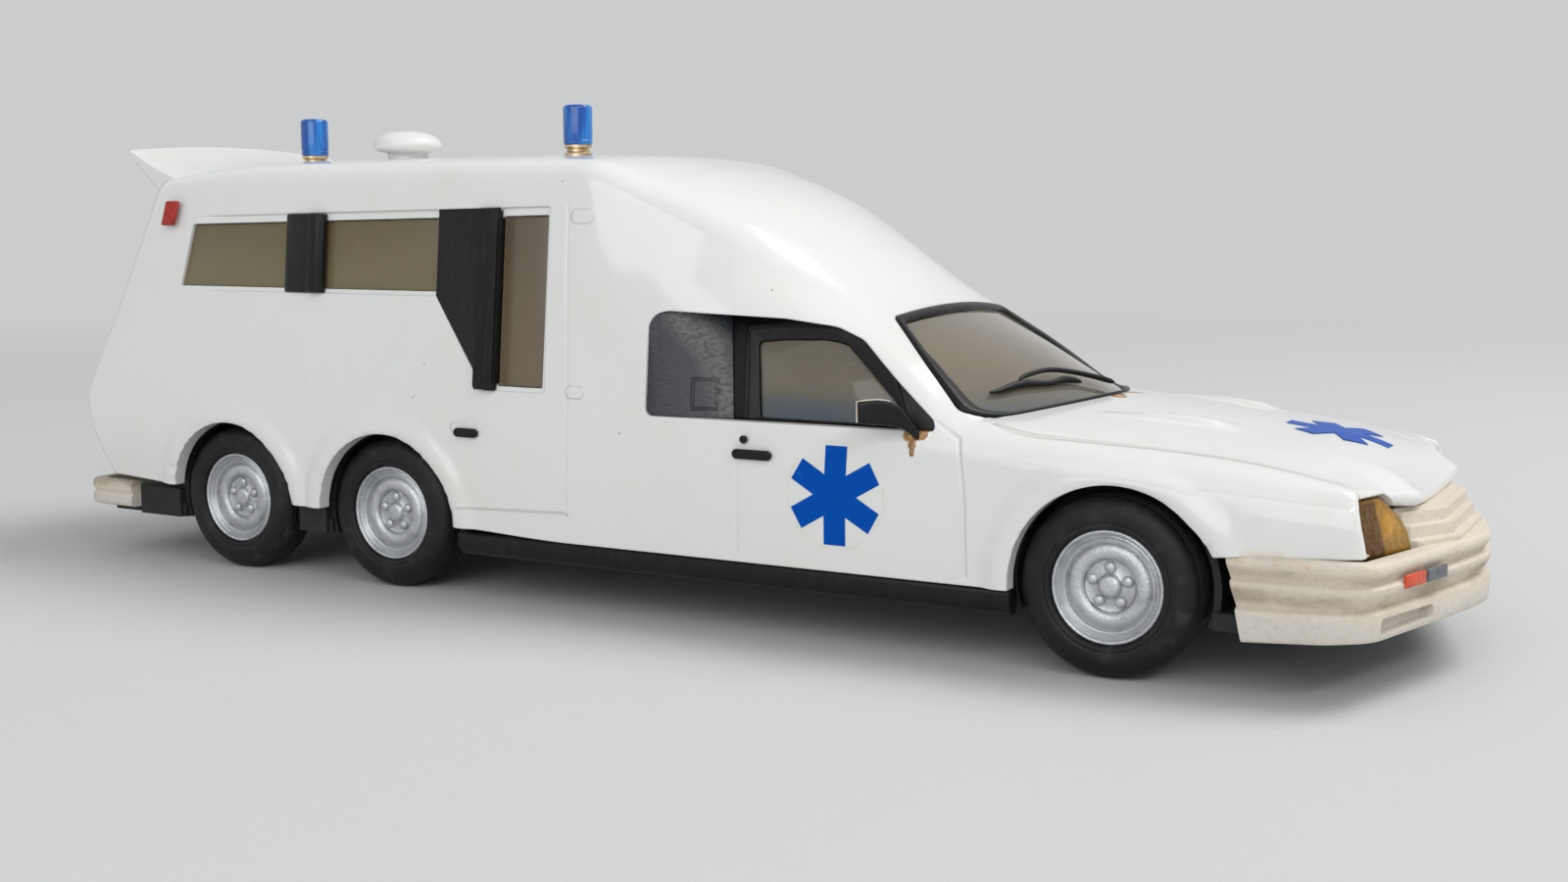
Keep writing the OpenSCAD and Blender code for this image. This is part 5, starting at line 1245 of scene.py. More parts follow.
def screen_loop(lines, inset, corner_steps=8, edge_steps=16):
    """Rounded outline of the screen, drawn in from its edge."""
    length, half = screen_size(lines)
    w = half - inset * GASKET_SHARES[0]
    high = length / 2 - inset * GASKET_SHARES[1]
    low = inset * GASKET_SHARES[2] - length / 2
    r = [half * share for share in SCREEN_CORNER_SHARES]
    ends = ((w - r[0], high - r[0]), (r[1] - w, high - r[1]), (r[2] - w, low + r[2]), (w - r[3], low + r[3]))
    arcs = []
    for i, (u, v) in enumerate(ends):
        angles = [math.radians(90 * (i + k / corner_steps)) for k in range(corner_steps + 1)]
        arcs.append([np.array((u + r[i] * math.cos(g), v + r[i] * math.sin(g))) for g in angles])
    loop = []
    for i in range(4):
        loop += arcs[i] + between(arcs[i][-1], arcs[(i + 1) % 4][0], edge_steps)
    return loop


def on_screen(lines, p, h):
    length, half = screen_size(lines)
    return screen_point(lines, p[0] / half * SCREEN_SIDE_SHARE,
                        blend(SCREEN_FOOT_SHARE, 1, p[1] / length + .5), h)


# Rings of a sheet over the screen, from its edge inwards
SCREEN_RING_SHARES = (1, .88, .74, .6, .45, .3, .15)


def screen_patch(name, lines, inset, low, high):
    """A filled sheet over the screen between two heights."""
    loop = screen_loop(lines, inset)
    rings = [[on_screen(lines, p * s, high) for p in loop] for s in reversed(SCREEN_RING_SHARES)]
    rings += [[on_screen(lines, p * s, low) for p in loop] for s in SCREEN_RING_SHARES]
    return lofted(name, [np.array(ring) for ring in rings])


# Gasket's section from its outer edge to its inner one, as shares of its width and height
GASKET_SECTION_SHARES = (
    (0, 0), (0, .72), (.06, .92), (.25, 1), (.6, .98), (.86, .9), (.97, .72), (1, .45), (1, 0),
)
# Its start off the screen's edge, its lower and upper face, and the waves of its inner edge: their height,
# then share, frequency and start of each
GASKET_START, GASKET_LOW, GASKET_HIGH = .1 * MM, -.9 * MM, .2 * MM
GASKET_WAVE = .07 * MM
GASKET_WAVES = ((1, 37, 0), (.7, 83, 1), (.5, 141, 2))


def gasket_ring(lines):
    s = sizes()
    rings = []
    for u, v in GASKET_SECTION_SHARES:
        inset = blend(GASKET_START, s.gasket_width, u)
        loop = screen_loop(lines, inset)
        n = len(loop)
        ring = []
        for k, p in enumerate(loop):
            wave = sum(share * math.sin(k * turns / n + start) for share, turns, start in GASKET_WAVES)
            grow = 1 + wave * GASKET_WAVE * u / np.linalg.norm(p)
            ring.append(on_screen(lines, p * grow, blend(GASKET_LOW, GASKET_HIGH, v)))
        rings.append(np.array(ring))
    n = len(rings[0])
    count = len(rings)
    faces = [(i * n + k, i * n + (k + 1) % n, (i + 1) % count * n + (k + 1) % n, (i + 1) % count * n + k)
             for i in range(count) for k in range(n)]
    return mesh_piece("windscreen_gasket_piece", np.vstack(rings), faces)


# Side windows of the box


# Box's front back to the tall window, slant of the long window's rear end, fall of the window heads, and the
# ledges round the panes
TALL_SETBACK = 3 * MM
STRIP_SLANT = 1.5 * MM
HEAD_FALL = .9 * MM
LEDGE_HEAD, LEDGE_FOOT, LEDGE_SIDE, LEDGE_DEPTH = .75 * MM, .45 * MM, .3 * MM, .3 * MM
# Foot of the black post: where its slant ends, how far the cut reaches below it and how deep it goes
POST_FOOT_SHARE, POST_SLANT_DROP, POST_SLANT_DEPTH = .8, .9 * MM, 3 * MM


class BoxSide:
    """The plane of the box's side and the outlines of its windows."""

    def __init__(self, lines):
        s = sizes()
        x = lines.stations[BOX_STATION]
        self.eave, shoulder = lines.point(EAVE_SHARES, x), lines.point(SHOULDER_SHARES, x, True)
        self.lean = math.atan((self.eave[1] - shoulder[1]) / (shoulder[2] - self.eave[2]))
        self.tall_front = lines.box - TALL_SETBACK
        self.tall_rear = self.tall_front - s.tall_width
        self.strip_front = self.tall_rear - s.post_width
        self.strip_rear = self.strip_front - s.strip_length
        self.strip_low = self.up(s.window_top - s.strip_height)
        self.tall_low = self.up(s.window_top - s.tall_height)

    def frame(self, side):
        return face_frame(self.eave[1], self.eave[2], self.lean, side)

    def up(self, z):
        return (z - self.eave[2]) / math.cos(self.lean)

    def head(self, x):
        fall = HEAD_FALL * (self.tall_front - x) / (self.tall_front - self.strip_rear)
        return self.up(sizes().window_top) - fall

    def strip(self, ledge):
        front, rear = self.strip_front, self.strip_rear + ledge * LEDGE_SIDE
        foot = self.strip_low + ledge * LEDGE_FOOT
        drop = ledge * LEDGE_HEAD
        return ((rear, foot), (front, foot), (front, self.head(front) - drop),
                (rear + STRIP_SLANT, self.head(rear + STRIP_SLANT) - drop))

    def tall(self, ledge):
        front = self.tall_front - ledge * LEDGE_SIDE
        foot = self.tall_low + ledge * LEDGE_FOOT
        drop = ledge * LEDGE_HEAD
        return ((self.tall_rear, foot), (front, foot), (front, self.head(front) - drop),
                (self.tall_rear, self.head(self.tall_rear) - drop))

    def post(self):
        foot = blend(self.strip_front, self.tall_rear, POST_FOOT_SHARE)
        return ((self.strip_front, self.strip_low), (foot, self.tall_low), (self.tall_rear, self.tall_low),
                (self.tall_rear, self.head(self.tall_rear)), (self.strip_front, self.head(self.strip_front)))

    def slant(self):
        """Everything below and behind the slanted foot of the post."""
        foot = blend(self.strip_front, self.tall_rear, POST_FOOT_SHARE)
        low, rear = self.tall_low - POST_SLANT_DROP, self.strip_front - MM
        return ((rear, low), (foot, low), (self.strip_front, self.strip_low), (rear, self.strip_low))


def rounded_outline(points, radius, steps=4):
    """An outline with its corners rounded."""
    points = [np.array(p, float) for p in points]
    out = []
    for i, p in enumerate(points):
        out += list(corner(points[i - 1], p, points[(i + 1) % len(points)], radius, steps))
    return out


# Front doors


# Front axle back to the door opening, height of its foot as a share of the roof's, radius of its corners, and
# its outline as shares of its length and height
DOOR_FRONT_BACK = 14.8 * MM
WINDOW_LINE_SHARE, DOOR_ROUND = .443, .5 * MM
DOOR_SHARES = (
    (1, 0), (.995, .09), (.90, .33), (.78, .62), (.71, .79), (.62, .905), (.46, .975), (.29, 1), (.06, 1.03),
    (.02, .99), (0, .90), (0, .04), (.015, 0),
)


def door_outline(lines):
    s = sizes()
    rear = FRONT_AXLE.x - s.door_length - DOOR_FRONT_BACK
    foot = lines.roof * WINDOW_LINE_SHARE
    points = [(rear + u * s.door_length, foot + v * s.door_height) for u, v in DOOR_SHARES]
    return rounded_outline(points, DOOR_ROUND)


def side_prism(name, outline, y, depth, side):
    """An outline of lengths along the car and heights, cut in from the side."""
    place = face_frame(y, 0, 0, side)
    return extruded(name, outline, 0, depth, place)


# Headlamps and tailgate


# A headlamp's face, from its outer lower corner inwards and up, as shares of its width and height
LAMP_SHARES = ((0, 0), (1.09, 0), (1.13, .14), (1, .58), (.78, .90), (.66, 1), (0, 1))
# How far forward the face stands at its outer and inner edge and how far it leans back, as shares of depth
LAMP_FRONT_SHARES, LAMP_RAKE_SHARE = (.42, .94), .25
# Gap under the bonnet's edge and rounding of the lamp's edges
LAMP_GAP, LAMP_ROUND = .37 * MM, .22 * MM
# How far a lamp's pocket reaches behind the lamp and forward of its back
POCKET_BACK, POCKET_REACH = .05 * MM, 20 * MM


def lamp_outline(gap):
    """A left headlamp's face in lengths off the middle and heights, with a gap under the bonnet's edge."""
    low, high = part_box("headlamp_left")
    return [(blend(high.y, low.y, u), blend(low.z, high.z - gap, v)) for u, v in LAMP_SHARES]


def headlamp():
    """The left headlamp with its slanted face."""
    low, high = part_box("headlamp_left")
    face = [(blend(low.x, high.x, blend(*LAMP_FRONT_SHARES, u) - LAMP_RAKE_SHARE * v), y, z)
            for (u, v), (y, z) in zip(LAMP_SHARES, lamp_outline(LAMP_GAP))]
    lamp = lofted("headlamp_left_piece", [np.array([(low.x, y, z) for _, y, z in face]), np.array(face)])
    return softened(lamp, LAMP_ROUND, segments=4)


def lamp_pocket(side):
    """The hollow for a headlamp between fender and nose, open towards the bumper."""
    low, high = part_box("headlamp_left")
    height = high.z - low.z
    outline = [(y, z - height if z == low.z else z) for y, z in lamp_outline(0)]
    forward = Matrix(((0, 0, 1, 0), (side, 0, 0, 0), (0, 1, 0, 0), (0, 0, 0, 1)))
    return extruded("pocket", outline, low.x - POCKET_BACK, low.x + POCKET_REACH, forward)


# Tailgate's pane: width and height, radius of its corners and its place between eave and shoulder
TAIL_PANE = 27 * MM, 9.6 * MM
TAIL_PANE_ROUND, TAIL_PANE_SHARE = 1.6 * MM, .48


def tailgate_frame(lines):
    """Middle of the tailgate's window: local x to the right, y up the face and z out of it."""
    eave = lines.point(EAVE_SHARES, lines.roof_end)
    shoulder = lines.point(SHOULDER_SHARES, lines.roof_end, True)
    lean = math.atan((shoulder[0] - eave[0]) / (shoulder[2] - eave[2]))
    at = blend(eave, shoulder, TAIL_PANE_SHARE)
    return (Matrix.Translation((at[0], 0, at[2])) @ Matrix.Rotation(math.radians(-90), 4, "Z")
            @ Matrix.Rotation(math.radians(90) - lean, 4, "X"))


def tail_outline(inset):
    w, h = TAIL_PANE[0] / 2 - inset, TAIL_PANE[1] / 2 - inset
    return rounded_outline(((-w, -h), (w, -h), (w, h), (-w, h)), TAIL_PANE_ROUND, 8)


# Radii of the corners of a window's recess and of the hole in it
RECESS_ROUND, HOLE_ROUND = .3 * MM, .2 * MM


class AMBULANCE_OT_body(bpy.types.Operator):
    """Lofts the body's skin, hollows it and opens its windows, arches and lamp pockets."""

    bl_idname = "ambulance.body"
    bl_label = "Body"

    def execute(self, context):
        s = sizes()
        lines = BodyLines()
        body = lofted("painted_body", body_rings(lines), caps="zip")
        cut(body, lofted("hollow", hollow_rings(lines), caps="zip"))
        depth = 2 * s.shell_wall
        cut(body, screen_patch("screen_hole", lines, 0, -depth, CUT_OVERRUN))
        cut(body, extruded("tail_hole", tail_outline(0), -depth, CUT_OVERRUN, tailgate_frame(lines)))
        box = BoxSide(lines)
        inner = lines.half * SIDE_CUT_SHARE
        for side in (RIGHT, LEFT):
            face = box.frame(side)
            cut(body, side_prism("door_hole", door_outline(lines), inner, lines.half, side))
            for outline in (box.strip, box.tall):
                recess = rounded_outline(outline(0), RECESS_ROUND)
                hole = rounded_outline(outline(1), HOLE_ROUND)
                cut(body, extruded("recess", recess, -LEDGE_DEPTH, CUT_OVERRUN, face))
                cut(body, extruded("hole", hole, -depth, CUT_OVERRUN, face))
            cut(body, extruded("post_hole", box.post(), -depth, CUT_OVERRUN, face))
            cut(body, lamp_pocket(side))
            for name, radius in ARCH_RADII.items():
                cut(body, side_prism("arch", arch_outline(AXLES[name], radius), inner, lines.half, side))
        dress(body, "body_shell", angle=28)
        return {"FINISHED"}


# Spoiler: its root on the roof, its rise and reach behind the roof's end, and its edge
SPOILER_ROOT_SHARE, SPOILER_TAPER_SHARE = .96, .1
SPOILER_RISE, SPOILER_REACH, SPOILER_WIDTH = 1.85 * MM, 7.4 * MM, 30.2 * MM
SPOILER_ROOT, SPOILER_ARCH, SPOILER_DROP = 3.0 * MM, .75 * MM, .9 * MM
SPOILER_HOLLOW, SPOILER_EDGE, SPOILER_SINK = .35 * MM, .5 * MM, .75 * MM
SPOILER_LIFT, SPOILER_END, SPOILER_FOOT, SPOILER_TIP = .08 * MM, .15 * MM, .3 * MM, .18 * MM
SPOILER_SINK_POWER, SPOILER_UNDER_SHARE = 6, .6
# Steps over its top, its underside and its root, and rings from side to side
SPOILER_STEPS, SPOILER_RINGS = (14, 10, 4), 49


class AMBULANCE_OT_spoiler(bpy.types.Operator):
    """Sweeps the spoiler's wedge over the end of the roof."""

    bl_idname = "ambulance.spoiler"
    bl_label = "Spoiler"

    def roof_point(self, lines, x, a):
        shoulder, _, top, _ = lines.crown(x)
        sunk = SPOILER_SINK * a ** SPOILER_SINK_POWER
        return np.array([x, a * shoulder[1], top[2] - (top[2] - shoulder[2]) * a * a + SPOILER_LIFT - sunk])

    def section(self, lines, a):
        root = a * SPOILER_ROOT_SHARE
        start = lines.roof_end + SPOILER_ROOT * (1 - SPOILER_TAPER_SHARE * a * a)
        front = self.roof_point(lines, start, root)
        end = self.roof_point(lines, lines.roof_end, root) - (SPOILER_END, 0, 0)
        edge = np.array([lines.roof_end - SPOILER_REACH, a * SPOILER_WIDTH / 2,
                         lines.roof + SPOILER_RISE - SPOILER_ARCH * a * a])
        hollow = blend(front, edge, .5) - (0, 0, 2 * SPOILER_HOLLOW)
        under = edge - (0, 0, SPOILER_EDGE)
        foot = end - (SPOILER_FOOT, 0, SPOILER_DROP)
        tip = blend(edge, under, .5) - (SPOILER_TIP, 0, 0)
        over, below, at_root = SPOILER_STEPS
        lower = curve(under, blend(under, foot, SPOILER_UNDER_SHARE), foot, below)
        return np.array([*curve(front, hollow, edge, over), tip, *lower, end, *between(end, front, at_root)])

    def execute(self, context):
        lines = BodyLines()
        rings = [self.section(lines, a) for a in np.linspace(-1, 1, SPOILER_RINGS)]
        spoiler = lofted("spoiler_piece", rings)
        dress(spoiler, "spoiler", angle=40)
        return {"FINISHED"}


# Gap between the windscreen's pane and its gasket, and the pane's lower and upper face
PANE_GAP, PANE_LOW, PANE_HIGH = .05 * MM, -.75 * MM, -.25 * MM


class AMBULANCE_OT_windscreen(bpy.types.Operator):
    """Lays the windscreen's pane and its hand-painted gasket over the screen."""

    bl_idname = "ambulance.windscreen"
    bl_label = "Windscreen"

    def execute(self, context):
        s = sizes()
        lines = BodyLines()
        pane = screen_patch("windscreen_piece", lines, s.gasket_width + PANE_GAP, PANE_LOW, PANE_HIGH)
        dress(pane, "windscreen")
        dress(gasket_ring(lines), "windscreen_gasket", angle=60)
        return {"FINISHED"}


class AMBULANCE_OT_doors(bpy.types.Operator):
    """Rounds the door frames and panes and paints the quarter panels behind them."""

    bl_idname = "ambulance.doors"
    bl_label = "Front doors"

    def execute(self, context):
        brushed = brushed_black().material
        for name in ("right", "left"):
            rounded(f"door_frame_{name}")
            rounded(f"door_pane_{name}")
            dress(copied(f"quarter_panel_{name}"), f"quarter_panel_{name}", finish=brushed, angle=50)
        return {"FINISHED"}


class AMBULANCE_OT_side_windows(bpy.types.Operator):
    """Rounds the panes and the black posts of the box's side windows and the tailgate's window."""

    bl_idname = "ambulance.side_windows"
    bl_label = "Side windows"

    def execute(self, context):
        for node in ("side_pane_right", "side_pane_left", "tall_panes", "mid_posts"):
            rounded(node)
        box = BoxSide(BodyLines())
        posts = copied("door_posts")
        for side in (RIGHT, LEFT):
            cut(posts, extruded("slant", box.slant(), -POST_SLANT_DEPTH, POST_SLANT_DEPTH, box.frame(side)))
        rounded("door_posts", posts)
        rounded("tailgate_pane")
        rounded("tailgate_gasket")
        return {"FINISHED"}


# Bumpers


# Plan from the rear of the side to the middle, as shares of length and half width, and the lift of the
# lower edge
FRONT_PLAN_SHARES = (
    (0, .99, 0), (.45, .99, .45), (.683, .97, 1), (.945, .243, 1), (1, 0, 1),
)
REAR_PLAN_SHARES = ((0, .975, 0), (.72, .97, 0), (.92, .93, 0), (1, .80, 0), (1, 0, 0))
# Section from its lower back over the face to its upper back, as shares of thickness and height
FRONT_SECTION_SHARES = (
    (1, 0), (.25, 0), (.09, .015), (.02, .05), (0, .10), (0, .37), (.02, .395), (.12, .412),
    (.42, .425), (.40, .45), (.30, .51), (.16, .58), (.05, .64), (0, .69), (.01, .735), (.10, .755),
    (.38, .768), (.36, .79), (.26, .84), (.13, .90), (.04, .95), (.03, .99), (.08, 1.04), (.18, 1.07),
    (.34, 1.085), (1, 1.085),
)
REAR_SECTION_SHARES = (
    (1, 0), (.3, 0), (.1, .04), (.02, .12), (0, .22), (.02, .42), (.18, .5), (.12, .56), (.02, .66), (0, .8),
    (.05, .92), (.16, .98), (.34, 1), (1, 1),
)
# Thickness, lift of the front's lower edge, rake of the ends and radius of the plan's corners
BUMPER_THICKNESS = 1.5 * MM
BUMPER_LIFT, BUMPER_RAKE, BUMPER_TURN = .9 * MM, 1.3 * MM, 1.3 * MM
# Corners of an air intake: share of the slanted front and height over the foot, then radius and depth
INTAKE_CORNERS = ((.06, 1.3 * MM), (.6, 1.5 * MM), (.6, 2.5 * MM), (.06, 2.6 * MM))
INTAKE_ROUND, INTAKE_DEPTH = .5 * MM, .9 * MM


def rounded_plan(points, radius, steps=6):
    """An open line of points with its inner corners rounded."""
    points = [np.array(p, float) for p in points]
    out = [points[0]]
    for a, b, c in zip(points, points[1:], points[2:]):
        out += list(corner(a, b, c, radius, steps))
    return out + [points[-1]]


def swept_bumper(name, plan, section, low, height, rake):
    """A section swept round a plan of points with their lifts."""
    rings = []
    for i, p in enumerate(plan):
        a, b = plan[max(i - 1, 0)], plan[min(i + 1, len(plan) - 1)]
        way = (b - a)[:2] / np.linalg.norm((b - a)[:2])
        inward = np.array((-way[1], way[0]))
        end = i in (0, len(plan) - 1)
        ring = []
        for u, v in section:
            x, y = p[:2] + inward * u * BUMPER_THICKNESS
            ring.append((x + (rake * (1 - v) if end else 0), y, low + v * height + p[2] * (1 - v)))
        rings.append(np.array(ring))
    return lofted(name, rings)


class AMBULANCE_OT_bumpers(bpy.types.Operator):
    """Sweeps the ribbed front bumper and the rear bumper, and rounds the grille's steps."""

    bl_idname = "ambulance.bumpers"
    bl_label = "Bumpers and grille"

    def plan(self, shares, front, length, half):
        right = [(front - length * (1 - u), -half * v, BUMPER_LIFT * lift) for u, v, lift in shares]
        left = [(x, -y, lift) for x, y, lift in right[-2::-1]]
        return rounded_plan(right + left, BUMPER_TURN)

    def execute(self, context):
        half = BodyLines().half
        low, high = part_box("front_bumper")
        length, height = high.x - low.x, high.z - low.z
        plan = self.plan(FRONT_PLAN_SHARES, high.x, length, half)
        bumper = swept_bumper("front_bumper_piece", plan, FRONT_SECTION_SHARES, low.z, height, BUMPER_RAKE)
        a, b = (Vector((high.x - length * (1 - u), -half * v, 0)) for u, v, _ in FRONT_PLAN_SHARES[2:4])
        way = b - a
        outline = rounded_outline([(way.length * u, v) for u, v in INTAKE_CORNERS], INTAKE_ROUND)
        for side in (RIGHT, LEFT):
            place = (Matrix.Translation((a.x, a.y, low.z)) @ Matrix.Rotation(math.atan2(way.y, way.x), 4, "Z")
                     @ Matrix.Rotation(math.radians(90), 4, "X"))
            if side == LEFT:
                place = Matrix.Scale(-1, 4, (0, 1, 0)) @ place
            cut(bumper, extruded("intake", outline, -INTAKE_DEPTH, CUT_OVERRUN, place))
        dress(bumper, "front_bumper", angle=40)
        low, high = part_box("rear_bumper")
        plan = [p * (-1, -1, 1) for p in self.plan(REAR_PLAN_SHARES, -low.x, high.x - low.x, half)]
        rear = swept_bumper("rear_bumper_piece", plan, REAR_SECTION_SHARES, low.z, high.z - low.z, 0)
        dress(rear, "rear_bumper", angle=40)
        rounded("grille")
        return {"FINISHED"}


class AMBULANCE_OT_lamps(bpy.types.Operator):
    """Shapes the headlamps with their slanted faces and rounds the other lamps and the roof markers."""

    bl_idname = "ambulance.lamps"
    bl_label = "Lamps"

    def execute(self, context):
        left = headlamp()
        dress(mirrored(left, "headlamp_right_piece"), "headlamp_right")
        dress(left, "headlamp_left")
        for node in ("indicators", "bumper_lamps", "tail_lamps", "roof_markers"):
            rounded(node)
        return {"FINISHED"}


# Profiles of the roof's fittings as shares of radius and height
LENS_SHARES = (
    (0, 0), (.94, 0), (1, .03), (1, .10), (.97, .115), (.97, .13), (1, .145), (1, .90), (.97, .955),
    (.90, .985), (.78, 1), (0, 1),
)
BASE_SHARES = (
    (0, 0), (.96, 0), (1, .05), (1, .22), (.9, .32), (.82, .42), (.82, .6), (.9, .68), (1, .76), (1, .95),
    (.96, 1), (0, 1),
)
VENT_SHARES = (
    (0, 0), (.60, 0), (.585, .10), (.585, .20), (.62, .245), (.76, .26), (.88, .295), (.96, .36), (1, .46),
    (.99, .56), (.95, .66), (.88, .75), (.78, .83), (.66, .90), (.52, .95), (.36, .985), (.18, 1), (0, 1),
)


def turned_node(node, shares, steps=96):
    """A round piece in the place of an upright CAD node."""
    low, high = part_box(node)
    radius, height = (high.x - low.x) / 2, high.z - low.z
    place = Matrix.Translation(((low.x + high.x) / 2, (low.y + high.y) / 2, low.z))
    return turned(f"{node}_piece", [(u * radius, v * height) for u, v in shares], place, steps)


class AMBULANCE_OT_roof_gear(bpy.types.Operator):
    """Turns the beacons, their gold bases and the mushroom vent."""

    bl_idname = "ambulance.roof_gear"
    bl_label = "Roof fittings"

    def execute(self, context):
        for place in ("front", "rear"):
            dress(turned_node(f"{place}_beacon_lens", LENS_SHARES), f"{place}_beacon_lens")
            dress(turned_node(f"{place}_beacon_base", BASE_SHARES), f"{place}_beacon_base")
        dress(turned_node("roof_vent", VENT_SHARES, steps=128), "roof_vent", angle=50)
        return {"FINISHED"}


# Wiper's line over the screen: share from side to side, share up its slope, lift and radius
WIPER_ARM = (
    (.08, .04, .5, .30), (-.10, .13, .55, .24), (-.36, .25, .6, .24), (-.52, .245, .6, .22),
    (-.66, .235, .55, .22), (-.66, .205, .3, .2),
)
WIPER_BLADE = (
    (-.86, .195, .10, .16), (-.80, .19, .12, .24), (-.70, .21, .18, .36), (-.62, .205, .18, .36),
    (-.52, .175, .1, .24), (-.44, .17, .1, .24), (-.38, .178, .16, .34), (-.30, .165, .16, .34),
    (-.22, .13, .08, .16),
)


class AMBULANCE_OT_wiper(bpy.types.Operator):
    """Draws the wiper's arm and its lumpy blade over the windscreen."""

    bl_idname = "ambulance.wiper"
    bl_label = "Wiper"

    def execute(self, context):
        lines = BodyLines()
        rods = []
        for name, rows in (("arm", WIPER_ARM), ("blade", WIPER_BLADE)):
            points = [screen_point(lines, a, b, lift * MM) for a, b, lift, _ in rows]
            rods.append(applied(tube(name, points, [row[3] * MM for row in rows]), "SUBSURF", levels=2,
                                render_levels=2))
        dress(joined("wiper_piece", rods), "wiper", angle=60)
        return {"FINISHED"}


# A right mirror from its outer end to its foot: place in millimetres, then half its height and half its depth
MIRROR_ROWS = (
    ((24.75, -22.85, 20.25), .62, .22), ((24.95, -22.75, 20.25), .92, .34), ((25.5, -22.3, 20.25), 1.0, .42),
    ((26.3, -21.7, 20.25), 1.06, .46), ((27.0, -21.15, 20.15), 1.04, .48), ((27.5, -20.75, 19.9), .92, .5),
    ((27.9, -20.4, 19.45), .72, .5), ((28.2, -20.1, 19.0), .56, .5), ((28.5, -19.8, 18.55), .5, .5),
    ((28.75, -19.3, 18.2), .52, .52),
)
MIRROR_CORNER_POWER = .55
# Which way the depth lies, along the car and out of it
MIRROR_TURN = (.6, -.8)
# Worn line round the head: how far out and how far down its lower end lies, how far the rest lies back, out
# and under the top, and its radius
MIRROR_LOWER_OUT, MIRROR_LOWER_SHARE = .3, .9
MIRROR_UPPER_SET = (.02, .32, .04)
MIRROR_RIM_RADIUS = .065 * MM


class AMBULANCE_OT_mirrors(bpy.types.Operator):
    """Lofts the door mirrors with their thick stalks and the pale worn edge round their heads."""

    bl_idname = "ambulance.mirrors"
    bl_label = "Door mirrors"

    def ring(self, row, around=28):
        """Boxy section of the head or stalk: its height upright and its depth on a slant."""
        (x, y, z), high, deep = row
        points = []
        for g in np.linspace(0, math.tau, around, endpoint=False):
            c, s = math.cos(g), math.sin(g)
            u = math.copysign(abs(c) ** MIRROR_CORNER_POWER, c) * deep
            v = math.copysign(abs(s) ** MIRROR_CORNER_POWER, s) * high
            points.append((x + u * MIRROR_TURN[0], y + u * MIRROR_TURN[1], z + v))
        return np.array(points) * MM

    def rim(self):
        """Thin worn line along the top and the outer end of the head."""
        (x, y, z), high, _ = MIRROR_ROWS[1]
        lower = (x, y - MIRROR_LOWER_OUT, z - MIRROR_LOWER_SHARE * high)
        back, out, under = MIRROR_UPPER_SET
        upper = [(x - back, y - out, z + high - under) for (x, y, z), high, _ in MIRROR_ROWS[1:6]]
        points = [np.array(p) * MM for p in [lower, *upper]]
        return tube("mirror_edge", points, [MIRROR_RIM_RADIUS] * len(points), 8)

    def execute(self, context):
        right = lofted("mirror_right_piece", [self.ring(row) for row in MIRROR_ROWS])
        applied(right, "SUBSURF", levels=1, render_levels=1)
        edge = self.rim()
        sides = (("right", right, edge),
                 ("left", mirrored(right, "mirror_left_piece"), mirrored(edge, "mirror_edge_left")))
        for name, head, line in sides:
            dress(head, f"mirror_{name}", angle=60)
            dress(line, slot="bumper", body="car", angle=60)
        return {"FINISHED"}


class AMBULANCE_OT_handles(bpy.types.Operator):
    """Rounds the door handles and lock buttons."""

    bl_idname = "ambulance.handles"
    bl_label = "Door handles"

    def execute(self, context):
        rounded("door_handles")
        return {"FINISHED"}


# Half of a tyre's section, as shares of its height above the rim and of its width
TYRE_SHARES = (
    (0, .11), (.03, .045), (.08, .018), (.15, .012), (.17, .02), (.19, .008), (.30, 0), (.45, .006),
    (.60, .022), (.74, .055), (.84, .10), (.91, .15), (.95, .195), (.965, .225), (.935, .235),
    (.935, .25), (.975, .262), (.985, .315), (.95, .325), (.95, .345), (.992, .355), (1, .42),
    (.965, .43), (.965, .45), (1, .46), (1, .5),
)
# Face of a rim from its edge to its hub, as shares of its radius and of the dish's depth
RIM_SHARES = (
    (1, .34), (.99, .1), (.965, 0), (.935, .02), (.918, .14), (.908, .34), (.892, .40), (.872, .34),
    (.858, .30), (.842, .36), (.83, .52), (.814, .57), (.798, .52), (.784, .54), (.774, .70),
    (.76, .84), (.745, .82), (.725, .66), (.69, .53), (.64, .46), (.58, .44), (.52, .48), (.475, .58),
    (.455, .74), (.443, .92), (.41, .97), (.24, .95), (.205, .84), (.19, .64), (.17, .52), (.135, .46),
    (.07, .44), (0, .44),
)
# Back of a rim from its middle to its edge: share of its radius and of the hollow's depth
RIM_BACK_SHARES = ((0, 0), (.4, 0), (.42, 1), (.84, 1), (.88, 0), (1, 0))
# How far the rim lies behind the tyre's face, and the depths of its dish and of the hollow at its back
RIM_SET, RIM_DISH, RIM_HOLLOW = .36 * MM, 1.0 * MM, 1.2 * MM
# Lugs: their number, the turn of the first one as a share of their spacing, their ring and radius as shares
# of the rim's radius, and a lug's profile as shares of its radius and heights
LUG_COUNT, LUG_START_SHARE = 5, .25
LUG_RING_SHARE, LUG_RADIUS_SHARE = .325, .1
LUG_PROFILE = ((0, .46 * MM), (.5, .45 * MM), (.85, .38 * MM), (1, .26 * MM), (1, 0), (0, 0))
WHEEL_STEPS, LUG_STEPS = 128, 20


